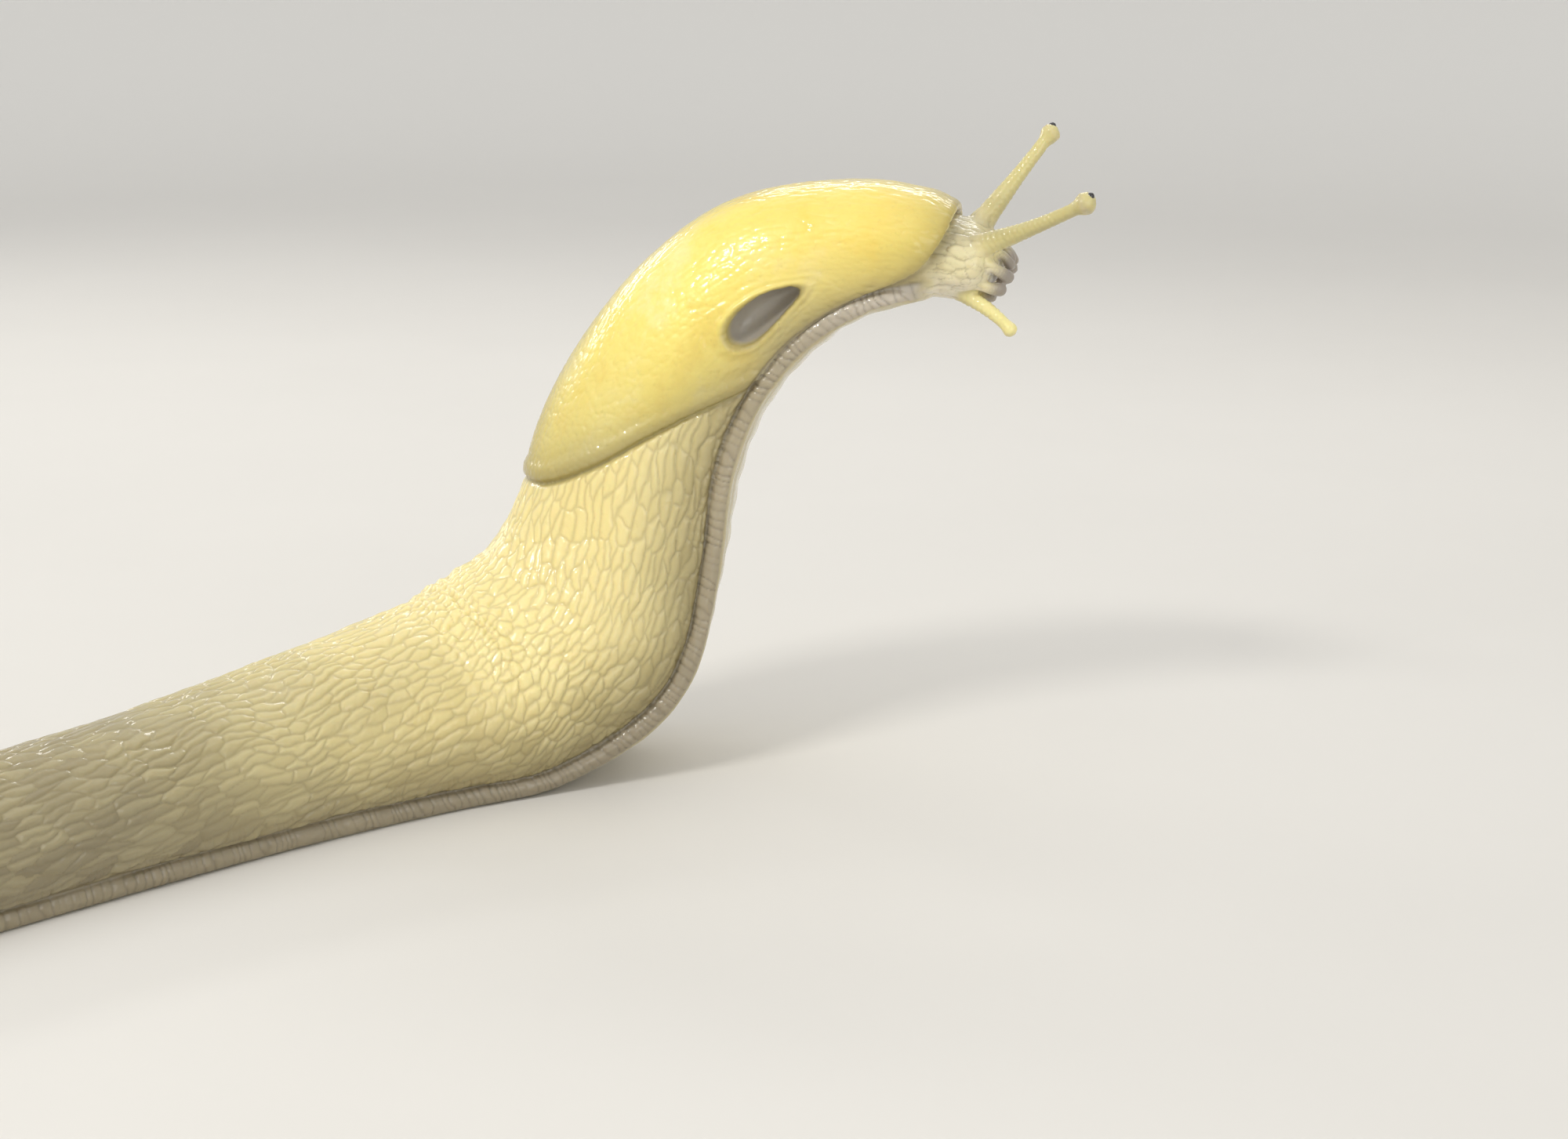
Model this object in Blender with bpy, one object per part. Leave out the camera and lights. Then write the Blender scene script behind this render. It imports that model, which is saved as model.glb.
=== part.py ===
"""A banana slug, life size, in one still pose: the hind half crawls on the floor
and the fore half is reared up and reaches forward with its feelers out.

The body is a loft of cross-sections strung along the line of the sole. Each
section has a flat sole, a foot fringe, the groove above it and an arched back.
The mantle is a thick saddle of skin over the fore part of that loft.
Metres, +Z up, the head towards +X, the floor at z = 0.
"""

from math import cos, hypot, pi, radians, sin

import bmesh
import bpy
import numpy as np
from mathutils import Matrix, Vector

MM = 0.001

# Where the middle of the sole at the lift-off lies, from the model's origin
# (the middle of its outline, on the floor).
LIFT_OFF_AT = (7.6, 29.0)

# Stations along the sole from the tip of the tail, all in mm and degrees:
# distance, rise of the sole, lean of the section, heading, height, half width.
STATIONS = (
    (0, 0, -8, 38.0, 2.0, 1.3),
    (12, 0, -5, 41.0, 6.8, 3.9),
    (26, 0, -3, 43.5, 11.2, 6.0),
    (42, 0, -1, 45.5, 14.3, 7.4),
    (60, 0, 0, 47.5, 15.1, 8.2),
    (82, 0, 5, 46.0, 16.3, 9.4),
    (100, 0, 13, 41.0, 18.5, 10.5),
    (115, 0, 20.5, 33.5, 21.4, 11.5),
    (123, 15.5, 31, 27.5, 23.4, 12.0),
    (130, 24, 41, 22.0, 24.6, 12.3),
    (138, 38.5, 51, 15.5, 25.2, 12.5),
    (145, 60, 59, 11.0, 24.8, 12.3),
    (154, 75, 66, 5.5, 23.6, 11.7),
    (163, 79, 70, 2.0, 22.2, 11.2),
    (172, 65, 69, -1.5, 20.8, 10.4),
    (181, 48, 60.5, -4.5, 19.5, 9.8),
    (188, 31, 45, -7.0, 17.7, 9.1),
    (195, 12.5, 29, -9.5, 14.2, 8.2),
    (202, -3, 0.5, -12.0, 10.2, 7.3),
)
LIFT_OFF = 115.0  # the sole is dead flat up to here, and then leaves the floor
STEP = 0.25  # of the sum along the sole

# Thickness of the foot below the groove, by distance.
FOOT = ((0, 1.0), (20, 1.6), (60, 2.3), (110, 2.5), (202, 1.9))
SOLE_SPREAD = 0.95  # sole's half width, of the body's
GROOVE_IN = 0.93  # the groove's, of the sole's
BELLY_LINE = 0.36  # height of the widest point, of the flank's height
GROOVE_ANGLE = 50.0  # girth angle: -50 at the groove, 90 at the back's ridge
KEEL = 0.25  # how far the tail's back is pinched to a keel
KEEL_ENDS = 90.0

# Edge of the mantle by girth angle: hind edge, front edge (distance, mm).
MANTLE_EDGE = (
    (-50, 179.0, 190.0),
    (-25, 175.2, 198.8),
    (0, 170.0, 200.3),
    (30, 163.2, 201.3),
    (60, 158.3, 202.0),
    (90, 157.0, 202.6),
)
MANTLE_SEAT = 2.4  # how deep the body is sunk under the mantle
MANTLE_PROUD_HIND = 0.6  # how far the mantle stands above the body's outline
MANTLE_PROUD_FRONT = 0.2
SEAT_SLOPE = 5.0  # the seat falls away over this much on each side of the edge

# Breathing hole, on the right side of the mantle.
HOLE_AT = (184.8, -10.0)
HOLE_SIZE = (4.9, 2.05, 2.0)  # half length, half width, depth

GAP = 0.3  # between neighbours
EYE_GAP = 0.2

# The body's lengths: name, from, to, ring spacing, colour.
TRUNK_PARTS = (
    ("tail", 0.0, 48.0, 4.0),
    ("trunk_rear", 48.0, 92.0, 4.4),
    ("trunk_mid", 92.0, 126.0, 3.8),
    ("trunk_rise", 126.0, 160.0, 3.4),
    ("neck", 160.0, 198.9, 3.2),
)
FOOT_PARTS = (
    ("foot_tail", 0.0, 60.0, 4.0),
    ("foot_mid", 60.0, 115.0, 4.0),
    ("foot_rise", 115.0, 158.0, 3.5),
    ("foot_front", 158.0, 199.0, 3.5),
)

# The head, in its own frame: forward, left and up from the sole line.
NECK_STARTS = 191.0
HEAD_STARTS = 199.0
HEAD_HEADING, HEAD_PITCH, HEAD_ROLL = -12.0, -4.0, 8.0
HEAD_MIDDLE = 4.8
# forward, height of the middle, half height, half width
HEAD_ROWS = (
    (0.0, 4.05, 4.1, 5.0),
    (1.5, 4.05, 4.1, 5.3),
    (3.0, 4.05, 4.05, 5.65),
    (4.4, 4.15, 3.85, 5.7),
    (5.5, 4.3, 3.35, 5.1),
    (6.4, 4.5, 2.5, 4.0),
    (7.0, 4.6, 1.6, 2.7),
    (7.3, 4.65, 0.75, 1.4),
)

# Feelers: base, middle and the knob's centre in the head's frame, then radii at
# the base, the middle, the neck of the knob and the knob.
FEELERS = {
    "upper_tentacle_right": ((3.3, -2.4, 5.7), (10.3, -4.6, 9.3), (16.6, -6.0, 13.2), (1.75, 0.85, 0.72, 1.2)),
    "upper_tentacle_left": ((3.3, 2.2, 5.9), (7.4, 5.4, 12.0), (10.7, 8.6, 16.9), (1.75, 0.85, 0.7, 1.1)),
    "lower_tentacle_right": ((2.2, -2.9, 1.5), (6.3, -4.3, 0.2), (9.5, -5.4, -1.8), (1.15, 0.78, 0.62, 0.82)),
    "lower_tentacle_left": ((2.6, 2.7, 1.7), (4.6, 4.9, 1.1), (6.1, 7.1, 0.3), (1.15, 0.75, 0.6, 0.78)),
}
EYE_RADIUS = 0.45

# The mouth's lips: a ring of lobes on the underside of the muzzle.
MOUTH_AT = (6.4, 0.0, 2.8)
MOUTH_PITCH = -28.0
LIP_LOBES = 8
LIP_RADIUS = 2.3
LIP_REACH = 1.9

# Colours: name, RGB, roughness
YELLOW = (0.83, 0.62, 0.13)
MANTLE_YELLOW = (0.88, 0.68, 0.14)
FRINGE = (0.36, 0.32, 0.2)
SOLE_ROUGH = 0.35
HEAD_PALE = (0.62, 0.52, 0.2)
LIP_GREY = (0.33, 0.28, 0.2)
FEELER = (0.6, 0.52, 0.2)
EYE_BLACK = (0.01, 0.01, 0.012)


def smooth_curve(table):
    """A smooth function through the rows of a table of (x, y)."""
    xs, ys = np.array(table, float).T
    span = np.diff(xs)
    slope = np.diff(ys) / span
    tangent = np.empty(len(xs))
    tangent[0], tangent[-1] = slope[0], slope[-1]
    tangent[1:-1] = (slope[:-1] * span[1:] + slope[1:] * span[:-1]) / (span[1:] + span[:-1])

    def value(x):
        x = np.clip(np.asarray(x, float), xs[0], xs[-1])
        i = np.clip(np.searchsorted(xs, x, side="right") - 1, 0, len(xs) - 2)
        t = (x - xs[i]) / span[i]
        return (
            (2 * t**3 - 3 * t**2 + 1) * ys[i]
            + (t**3 - 2 * t**2 + t) * span[i] * tangent[i]
            + (3 * t**2 - 2 * t**3) * ys[i + 1]
            + (t**3 - t**2) * span[i] * tangent[i + 1]
        )

    return value


rise, lean, heading, height, half_width = (
    smooth_curve([(row[0], row[k]) for row in STATIONS]) for k in range(1, 6)
)
foot_thickness = smooth_curve(FOOT)
hind_edge = smooth_curve([(row[0], row[1]) for row in MANTLE_EDGE])
front_edge = smooth_curve([(row[0], row[2]) for row in MANTLE_EDGE])


def walk_the_sole():
    """The middle line of the sole, summed step by step from the tail."""
    s = np.arange(0, STATIONS[-1][0] + STEP / 2, STEP)
    up = np.radians(np.where(s < LIFT_OFF, 0, rise(s)))
    turn = np.radians(heading(s))
    along = np.stack([np.cos(up) * np.cos(turn), np.cos(up) * np.sin(turn), np.sin(up)], 1)
    line = np.concatenate([np.zeros((1, 3)), np.cumsum((along[1:] + along[:-1]) / 2 * STEP, 0)])
    line[:, :2] += np.array(LIFT_OFF_AT) - line[int(LIFT_OFF / STEP), :2]
    return s, line


SOLE_S, SOLE_LINE = walk_the_sole()


def section_frame(s):
    """The sole's middle, the leftward and the upward direction of the section at s."""
    middle = Vector([float(np.interp(s, SOLE_S, SOLE_LINE[:, k])) for k in range(3)])
    turn, tilt = radians(float(heading(s))), radians(float(lean(s)))
    left = Vector((-sin(turn), cos(turn), 0))
    up = Vector((-sin(tilt) * cos(turn), -sin(tilt) * sin(turn), cos(tilt)))
    return middle, left, up


def outline(s, girth):
    """Sideways and upward place of the outline at a girth angle, and the way out of it."""
    tall, wide, foot = float(height(s)), float(half_width(s)), float(foot_thickness(s))
    belly = foot + BELLY_LINE * (tall - foot)
    groove = GROOVE_IN * SOLE_SPREAD * wide
    if girth >= 0:
        pinch = 1 + KEEL * min(1.0, max(0.0, (KEEL_ENDS - s) / 80))
        a = radians(girth)
        place = (wide * max(cos(a), 0) ** pinch, belly + (tall - belly) * sin(a))
        out = (cos(a) / wide, sin(a) / (tall - belly))
    else:
        t = (girth / GROOVE_ANGLE + 1) * pi / 2
        place = (groove + (wide - groove) * sin(t), foot + (belly - foot) * (1 - cos(t)))
        out = (cos(radians(girth * 0.5)), sin(radians(girth * 0.5)))
    size = hypot(*out)
    return place, (out[0] / size, out[1] / size)


def inside_mantle(s, girth):
    """How far inside the mantle's edge a place is, in mm; negative outside it."""
    return min(s - float(hind_edge(girth)), float(front_edge(girth)) - s, 0.2 * (girth + GROOVE_ANGLE))


def seat_depth(s, girth, neck=True):
    """How far the body is sunk below the outline, to carry the mantle; the neck
    draws in on all sides to meet the head."""
    t = min(1.0, max(0.0, (inside_mantle(s, girth) + SEAT_SLOPE) / (2 * SEAT_SLOPE)))
    if neck:
        t = max(t, min(1.0, max(0.0, (s - NECK_STARTS) / (HEAD_STARTS - NECK_STARTS))))
    return MANTLE_SEAT * t * t * (3 - 2 * t)


def on_body(s, girth, side, lift):
    """Point at a girth angle on one side of the body, lifted off the outline."""
    middle, left, up = section_frame(s)
    place, out = outline(s, girth)
    return middle + side * (place[0] + lift * out[0]) * left + (place[1] + lift * out[1]) * up


def spread(a, b, spacing):
    count = max(1, round((b - a) / spacing))
    return [a + (b - a) * i / count for i in range(count + 1)]


def add_object(name, bm, colour, roughness):
    bmesh.ops.recalc_face_normals(bm, faces=bm.faces)
    mesh = bpy.data.meshes.new(name)
    bm.to_mesh(mesh)
    bm.free()
    mesh.shade_smooth()
    mesh.set_sharp_from_angle(angle=radians(35))
    material = bpy.data.materials.new(name)
    material.use_nodes = True
    shader = material.node_tree.nodes["Principled BSDF"]
    shader.inputs["Base Color"].default_value = (*colour, 1)
    shader.inputs["Roughness"].default_value = roughness
    shader.inputs["Metallic"].default_value = 0
    mesh.materials.append(material)
    obj = bpy.data.objects.new(name, mesh)
    bpy.context.scene.collection.objects.link(obj)
    obj.parent = SLUG
    return obj


def loft(rings, close_ends=True):
    """A closed skin over a row of rings of equal length, with its ends capped."""
    bm = bmesh.new()
    rows = [[bm.verts.new(Vector(p) * MM) for p in ring] for ring in rings]
    for one, two in zip(rows, rows[1:]):
        count = len(one)
        for i in range(count):
            bm.faces.new((one[i], one[(i + 1) % count], two[(i + 1) % count], two[i]))
    if close_ends:
        bm.faces.new(rows[0][::-1])
        bm.faces.new(rows[-1])
    return bm


GIRTHS = spread(-GROOVE_ANGLE, 90, 11)


def trunk_ring(s):
    """Flanks and back, above the groove."""
    middle, left, up = section_frame(s)
    floor = float(foot_thickness(s)) + GAP / 2
    ring = []
    for side, girths in ((-1, GIRTHS), (1, GIRTHS[-2::-1])):
        for girth in girths:
            p = on_body(s, girth, side, -seat_depth(s, girth))
            low = floor - (p - middle).dot(up)
            ring.append(p + max(0.0, low) * up)
    return ring


def foot_ring(s):
    """The sole, the fringe and the flat that carries the body."""
    middle, left, up = section_frame(s)
    thick = float(foot_thickness(s))
    sole = SOLE_SPREAD * float(half_width(s))
    if s > 196:  # rounded front edge of the foot
        sole *= (1 - ((s - 196) / 4.6) ** 2) ** 0.5
    half = (
        (0.9 * sole, 0),
        (sole, 0.35 * thick),
        (0.99 * sole, 0.7 * thick),
        (GROOVE_IN * sole, thick - GAP / 2),
    )
    pairs = [(-b, n) for b, n in half[::-1]] + list(half)
    return [middle + b * left + n * up for b, n in pairs]


def make_trunk():
    for name, start, end, spacing in TRUNK_PARTS:
        first = start + (GAP / 2 if start else 0)
        rings = [trunk_ring(s) for s in spread(first, end - GAP / 2, spacing)]
        add_object(name, loft(rings), YELLOW, SOLE_ROUGH)


def make_foot():
    for name, start, end, spacing in FOOT_PARTS:
        first = start + (GAP / 2 if start else 0)
        rings = [foot_ring(s) for s in spread(first, end - GAP / 2, spacing)]
        add_object(name, loft(rings), FRINGE, SOLE_ROUGH)


def make_mantle():
    """A saddle with a rounded free edge, seated in the body's back."""
    girths = GIRTHS + GIRTHS[-2::-1]
    sides = [-1] * len(GIRTHS) + [1] * (len(GIRTHS) - 1)
    lengthwise = (0, 0.03, 0.09, 0.17, 0.26, 0.35, 0.44, 0.53, 0.62, 0.71, 0.8, 0.88, 0.94, 0.98, 1)
    bm = bmesh.new()
    outer, inner = [], []
    for column, (girth, side) in enumerate(zip(girths, sides)):
        a, b = float(hind_edge(girth)), float(front_edge(girth))
        top, bottom = [], []
        for t in lengthwise:
            s = a + (b - a) * t
            proud = MANTLE_PROUD_HIND + (MANTLE_PROUD_FRONT - MANTLE_PROUD_HIND) * t
            # The rim is rounded off where the edge is near.
            near = min(t * (b - a), (1 - t) * (b - a), 1.2 if girth > -45 else 0.0)
            proud -= 0.45 * (1 - min(1.0, near / 1.2)) ** 2
            top.append(bm.verts.new(on_body(s, girth, side, proud) * MM))
            bottom.append(bm.verts.new(on_body(s, girth, side, GAP - seat_depth(s, girth, neck=False)) * MM))
        outer.append(top)
        inner.append(bottom)
    for i in range(len(girths) - 1):
        for j in range(len(lengthwise) - 1):
            bm.faces.new((outer[i][j], outer[i + 1][j], outer[i + 1][j + 1], outer[i][j + 1]))
            bm.faces.new((inner[i][j + 1], inner[i + 1][j + 1], inner[i + 1][j], inner[i][j]))
    # Close the rim: along both lower edges, then round the hind and front edges.
    for i in (0, len(girths) - 1):
        for j in range(len(lengthwise) - 1):
            bm.faces.new((outer[i][j], outer[i][j + 1], inner[i][j + 1], inner[i][j]))
    for j in (0, len(lengthwise) - 1):
        for i in range(len(girths) - 1):
            bm.faces.new((outer[i][j], outer[i + 1][j], inner[i + 1][j], inner[i][j]))
    mantle = add_object("mantle", bm, MANTLE_YELLOW, 0.3)
    # The breathing hole is a blind oval dent.
    s, girth = HOLE_AT
    centre = on_body(s, girth, -1, MANTLE_PROUD_FRONT + 0.2)
    along = (on_body(s + 1, girth, -1, 0) - on_body(s - 1, girth, -1, 0)).normalized()
    around = on_body(s, girth + 5, -1, 0) - on_body(s, girth - 5, -1, 0)
    out = along.cross(around).normalized()
    around = out.cross(along)
    basis = Matrix((along * HOLE_SIZE[0], around * HOLE_SIZE[1], out * HOLE_SIZE[2])).transposed()
    bm = bmesh.new()
    bmesh.ops.create_uvsphere(bm, u_segments=20, v_segments=12, radius=MM)
    bmesh.ops.transform(bm, verts=bm.verts, matrix=Matrix.Translation(centre * MM) @ basis.to_4x4())
    cut_from(mantle, bm, "breathing_hole_cutter")


def cut_from(obj, bm, name):
    cutter = add_object(name, bm, FRINGE, 0.5)
    cutter.hide_render = True
    cutter.display_type = "WIRE"
    cut = obj.modifiers.new(name, "BOOLEAN")
    cut.operation = "DIFFERENCE"
    cut.solver = "EXACT"
    cut.object = cutter
    return cutter


def head_frame():
    """The head's origin on the sole line and its forward, left and up directions."""
    turn, pitch, roll = radians(HEAD_HEADING), radians(HEAD_PITCH), radians(HEAD_ROLL)
    forward = Vector((cos(pitch) * cos(turn), cos(pitch) * sin(turn), sin(pitch)))
    level_left = Vector((-sin(turn), cos(turn), 0))
    level_up = forward.cross(level_left)
    left = level_left * cos(roll) + level_up * sin(roll)
    up = level_up * cos(roll) - level_left * sin(roll)
    start, _, _ = section_frame(HEAD_STARTS)
    return start + level_up * HEAD_MIDDLE - up * HEAD_MIDDLE, forward, left, up


def head_point(place):
    origin, forward, left, up = head_frame()
    return origin + place[0] * forward + place[1] * left + place[2] * up


def head_loft(grow=0.0, start=0.0):
    """The muzzle as a loft of ovals, a little fuller at the cheeks."""
    rings = []
    for forward, middle, tall, wide in HEAD_ROWS:
        ring = []
        for i in range(24):
            a = 2 * pi * i / 24
            b, n = cos(a), sin(a)
            ring.append(
                head_point(
                    (
                        start if forward == 0 else forward + grow,
                        (wide + grow) * b * abs(b) ** -0.12 if b else 0,
                        middle + (tall + grow) * n,
                    )
                )
            )
        rings.append(ring)
    return loft(rings)


def frame_along(direction):
    """Two directions square to this one."""
    side = direction.cross(Vector((0, 0, 1))).normalized()
    return side, side.cross(direction).normalized()


def feeler_points(base, middle, tip):
    """A smooth line through the three, by a parabola."""
    b, m, t = Vector(base), Vector(middle), Vector(tip)
    control = 2 * m - (b + t) / 2
    return lambda u: head_point((1 - u) ** 2 * b + 2 * u * (1 - u) * control + u**2 * t)


def make_feelers():
    for name, (base, middle, tip, radii) in FEELERS.items():
        line = feeler_points(base, middle, tip)
        length = sum((line((i + 1) / 20) - line(i / 20)).length for i in range(20))
        root, mid, thin, knob = radii
        shaft = smooth_curve(((0, root), (0.3, (root + 2 * mid) / 3), (0.55, mid), (1, thin)))
        joint = 1 - (knob**2 - thin**2) ** 0.5 / length  # where the knob begins
        rings, sides = [], 12
        stops = [joint * i / 7 for i in range(7)]
        sizes = [float(shaft(u / joint)) for u in stops]
        for a in (2.55, 2.1, 1.65, 1.2, 0.8, 0.4):
            stops.append(1 + cos(a) * knob / length)
            sizes.append(knob * sin(a))
        for u, size in zip(stops, sizes):
            side, up = frame_along((line(u + 0.01) - line(u - 0.01)).normalized())
            rings.append(
                [line(u) + size * (cos(2 * pi * i / sides) * side + sin(2 * pi * i / sides) * up) for i in range(sides)]
            )
        feeler = add_object(name, loft(rings), FEELER, 0.35)
        cut_from(feeler, head_loft(GAP, -1.0), name + "_root_cutter")
        if name.startswith("upper"):
            make_eye(name, feeler, line(1), (line(1) - line(0.9)).normalized(), knob)


def make_eye(name, feeler, centre, forward, knob):
    """A dark ball let into the upper front of the knob."""
    side, up = frame_along(forward)
    look = (forward + 0.55 * up).normalized()
    place = centre + look * (knob - 0.62 * EYE_RADIUS)
    for radius, keep in ((EYE_RADIUS, True), (EYE_RADIUS + EYE_GAP, False)):
        bm = bmesh.new()
        bmesh.ops.create_uvsphere(bm, u_segments=12, v_segments=8, radius=radius * MM)
        bmesh.ops.translate(bm, verts=bm.verts, vec=place * MM)
        if keep:
            add_object("eye_" + name.rsplit("_", 1)[1], bm, EYE_BLACK, 0.1)
        else:
            cut_from(feeler, bm, name + "_socket_cutter")


def make_lips():
    """A flared ring of rounded lobes round the mouth's dent."""
    pitch = radians(MOUTH_PITCH)
    axis = Vector((cos(pitch), 0, sin(pitch)))
    across, upright = Vector((0, 1, 0)), Vector((-sin(pitch), 0, cos(pitch)))
    sides = LIP_LOBES * 6
    # radius and reach of each ring, and how much the lobes show there
    rows = (
        (0.45, -0.9, 0),
        (0.72, -0.7, 0.1),
        (0.86, 0.2, 0.5),
        (1.0, 0.62, 1.0),
        (0.98, 0.9, 1.0),
        (0.8, 1.0, 0.9),
        (0.55, 0.9, 0.6),
        (0.3, 0.72, 0.2),
        (0.12, 0.6, 0),
    )
    rings = []
    for out, reach, lobed in rows:
        ring = []
        for i in range(sides):
            a = 2 * pi * i / sides
            lobe = abs(cos(LIP_LOBES * a / 2)) ** 0.7
            radius = LIP_RADIUS * out * (1 - 0.24 * lobed * (1 - lobe))
            ahead = LIP_REACH * reach * (1 - 0.3 * lobed * (1 - lobe))
            ring.append(head_point(Vector(MOUTH_AT) + axis * ahead + radius * (cos(a) * upright + sin(a) * across)))
        rings.append(ring)
    lips = add_object("lips", loft(rings), LIP_GREY, 0.35)
    cut_from(lips, head_loft(GAP, -1.0), "lips_root_cutter")


for thing in list(bpy.data.objects):
    bpy.data.objects.remove(thing, do_unlink=True)
bpy.context.scene.unit_settings.system = "METRIC"
bpy.context.scene.unit_settings.scale_length = 1

SLUG = bpy.data.objects.new("slug", None)
bpy.context.scene.collection.objects.link(SLUG)

make_trunk()
make_foot()
make_mantle()
add_object("head", head_loft(), HEAD_PALE, 0.35)
make_feelers()
make_lips()
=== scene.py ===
# The looks of a life-size banana slug. One skin is lofted, fused and then carved
# point by point: tubercles, mantle grain, fringe pleats, wrinkled head and feelers.
# Lengths are worked out in millimetres and written in metres at the end.
from math import cos, pi, radians, sin

import bmesh
import bpy
import numpy as np
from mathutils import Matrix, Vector


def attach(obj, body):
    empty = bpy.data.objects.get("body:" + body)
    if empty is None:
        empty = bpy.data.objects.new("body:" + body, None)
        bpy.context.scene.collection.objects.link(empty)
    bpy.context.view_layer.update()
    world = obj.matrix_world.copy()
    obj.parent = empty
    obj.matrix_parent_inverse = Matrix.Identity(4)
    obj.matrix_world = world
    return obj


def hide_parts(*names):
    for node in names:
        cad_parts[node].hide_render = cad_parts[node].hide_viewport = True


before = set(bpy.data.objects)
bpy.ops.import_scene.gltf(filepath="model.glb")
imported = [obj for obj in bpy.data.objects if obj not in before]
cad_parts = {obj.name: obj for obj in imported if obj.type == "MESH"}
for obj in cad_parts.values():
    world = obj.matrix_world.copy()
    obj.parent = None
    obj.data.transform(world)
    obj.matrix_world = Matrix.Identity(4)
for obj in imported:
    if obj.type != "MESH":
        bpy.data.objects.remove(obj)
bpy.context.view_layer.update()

MM = 0.001
VOXEL = 0.155  # the skin's mesh size

# ---------------------------------------------------------------- the body's plan
# The same tables as the solids are built from, in mm and degrees:
# distance along the sole, rise, lean, heading, height, half width.
LIFT_OFF_AT = (7.6, 29.0)
STATIONS = (
    (0, 0, -8, 38.0, 2.0, 1.3),
    (12, 0, -5, 41.0, 6.8, 3.9),
    (26, 0, -3, 43.5, 11.2, 6.0),
    (42, 0, -1, 45.5, 14.3, 7.4),
    (60, 0, 0, 47.5, 15.1, 8.2),
    (82, 0, 5, 46.0, 16.3, 9.4),
    (100, 0, 13, 41.0, 18.5, 10.5),
    (115, 0, 20.5, 33.5, 21.4, 11.5),
    (123, 15.5, 31, 27.5, 23.4, 12.0),
    (130, 24, 41, 22.0, 24.6, 12.3),
    (138, 38.5, 51, 15.5, 25.2, 12.5),
    (145, 60, 59, 11.0, 24.8, 12.3),
    (154, 75, 66, 5.5, 23.6, 11.7),
    (163, 79, 70, 2.0, 22.2, 11.2),
    (172, 65, 69, -1.5, 20.8, 10.4),
    (181, 48, 60.5, -4.5, 19.5, 9.8),
    (188, 31, 45, -7.0, 17.7, 9.1),
    (195, 12.5, 29, -9.5, 14.2, 8.2),
    (202, -3, 0.5, -12.0, 10.2, 7.3),
)
LIFT_OFF, STEP = 115.0, 0.25
FOOT = ((0, 1.0), (20, 1.6), (60, 2.3), (110, 2.5), (202, 1.9))
SOLE_SPREAD, GROOVE_IN, BELLY_LINE = 0.95, 0.93, 0.36
GROOVE_ANGLE = 50.0
KEEL, KEEL_ENDS = 0.25, 90.0
MANTLE_EDGE = (
    (-50, 179.0, 192.0),
    (-38, 177.3, 195.9),
    (-25, 175.2, 198.3),
    (-12, 172.7, 199.7),
    (0, 170.0, 200.4),
    (30, 163.2, 201.5),
    (60, 158.3, 201.9),
    (90, 157.0, 202.0),
)
RIM = 0.55  # radius of the mantle's rounded rim
PROUD_HIND, PROUD_FRONT = 0.68, 0.42
HOLE_AT, HOLE_SIZE = (184.8, -10.0), (4.9, 2.05)
NECK_STARTS, HEAD_STARTS = 191.0, 199.0
HEAD_HEADING, HEAD_PITCH, HEAD_ROLL, HEAD_MIDDLE = -12.0, -4.0, 8.0, 4.8
HEAD_ROWS = (
    (-5.0, 4.6, 3.9, 5.0),
    (-2.0, 4.5, 4.4, 5.5),
    (0.0, 4.4, 4.5, 5.75),
    (1.5, 4.3, 4.45, 5.8),
    (3.0, 4.2, 4.25, 5.8),
    (4.4, 4.2, 3.9, 5.7),
    (5.5, 4.3, 3.35, 5.1),
    (6.4, 4.5, 2.5, 4.0),
    (7.0, 4.6, 1.6, 2.7),
    (7.3, 4.65, 0.75, 1.4),
)
FEELERS = {
    "upper_tentacle_right": ((3.3, -2.4, 5.7), (10.3, -4.6, 9.3), (16.6, -6.0, 13.2), (1.75, 0.85, 0.72, 1.2)),
    "upper_tentacle_left": ((3.3, 2.2, 5.9), (7.4, 5.4, 12.0), (10.7, 8.6, 16.9), (1.75, 0.85, 0.7, 1.1)),
    "lower_tentacle_right": ((2.2, -2.9, 1.5), (6.3, -4.3, 0.2), (9.5, -5.4, -1.8), (1.15, 0.78, 0.62, 0.82)),
    "lower_tentacle_left": ((2.6, 2.7, 1.7), (4.6, 4.9, 1.1), (6.1, 7.1, 0.3), (1.15, 0.75, 0.6, 0.78)),
}
EYE_RADIUS = 0.45
MOUTH_AT, MOUTH_PITCH = (6.4, 0.0, 2.8), -28.0
LIP_RADIUS = 2.3


def smooth_curve(table):
    """A smooth function through the rows of a table of (x, y)."""
    xs, ys = np.array(table, float).T
    span = np.diff(xs)
    slope = np.diff(ys) / span
    tangent = np.empty(len(xs))
    tangent[0], tangent[-1] = slope[0], slope[-1]
    tangent[1:-1] = (slope[:-1] * span[1:] + slope[1:] * span[:-1]) / (span[1:] + span[:-1])

    def value(x):
        x = np.clip(np.asarray(x, float), xs[0], xs[-1])
        i = np.clip(np.searchsorted(xs, x, side="right") - 1, 0, len(xs) - 2)
        t = (x - xs[i]) / span[i]
        return (
            (2 * t**3 - 3 * t**2 + 1) * ys[i]
            + (t**3 - 2 * t**2 + t) * span[i] * tangent[i]
            + (3 * t**2 - 2 * t**3) * ys[i + 1]
            + (t**3 - t**2) * span[i] * tangent[i + 1]
        )

    return value


rise, lean, heading, height, half_width = (
    smooth_curve([(row[0], row[k]) for row in STATIONS]) for k in range(1, 6)
)
foot_thickness = smooth_curve(FOOT)
hind_edge = smooth_curve([(row[0], row[1]) for row in MANTLE_EDGE])
front_edge = smooth_curve([(row[0], row[2]) for row in MANTLE_EDGE])

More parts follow.
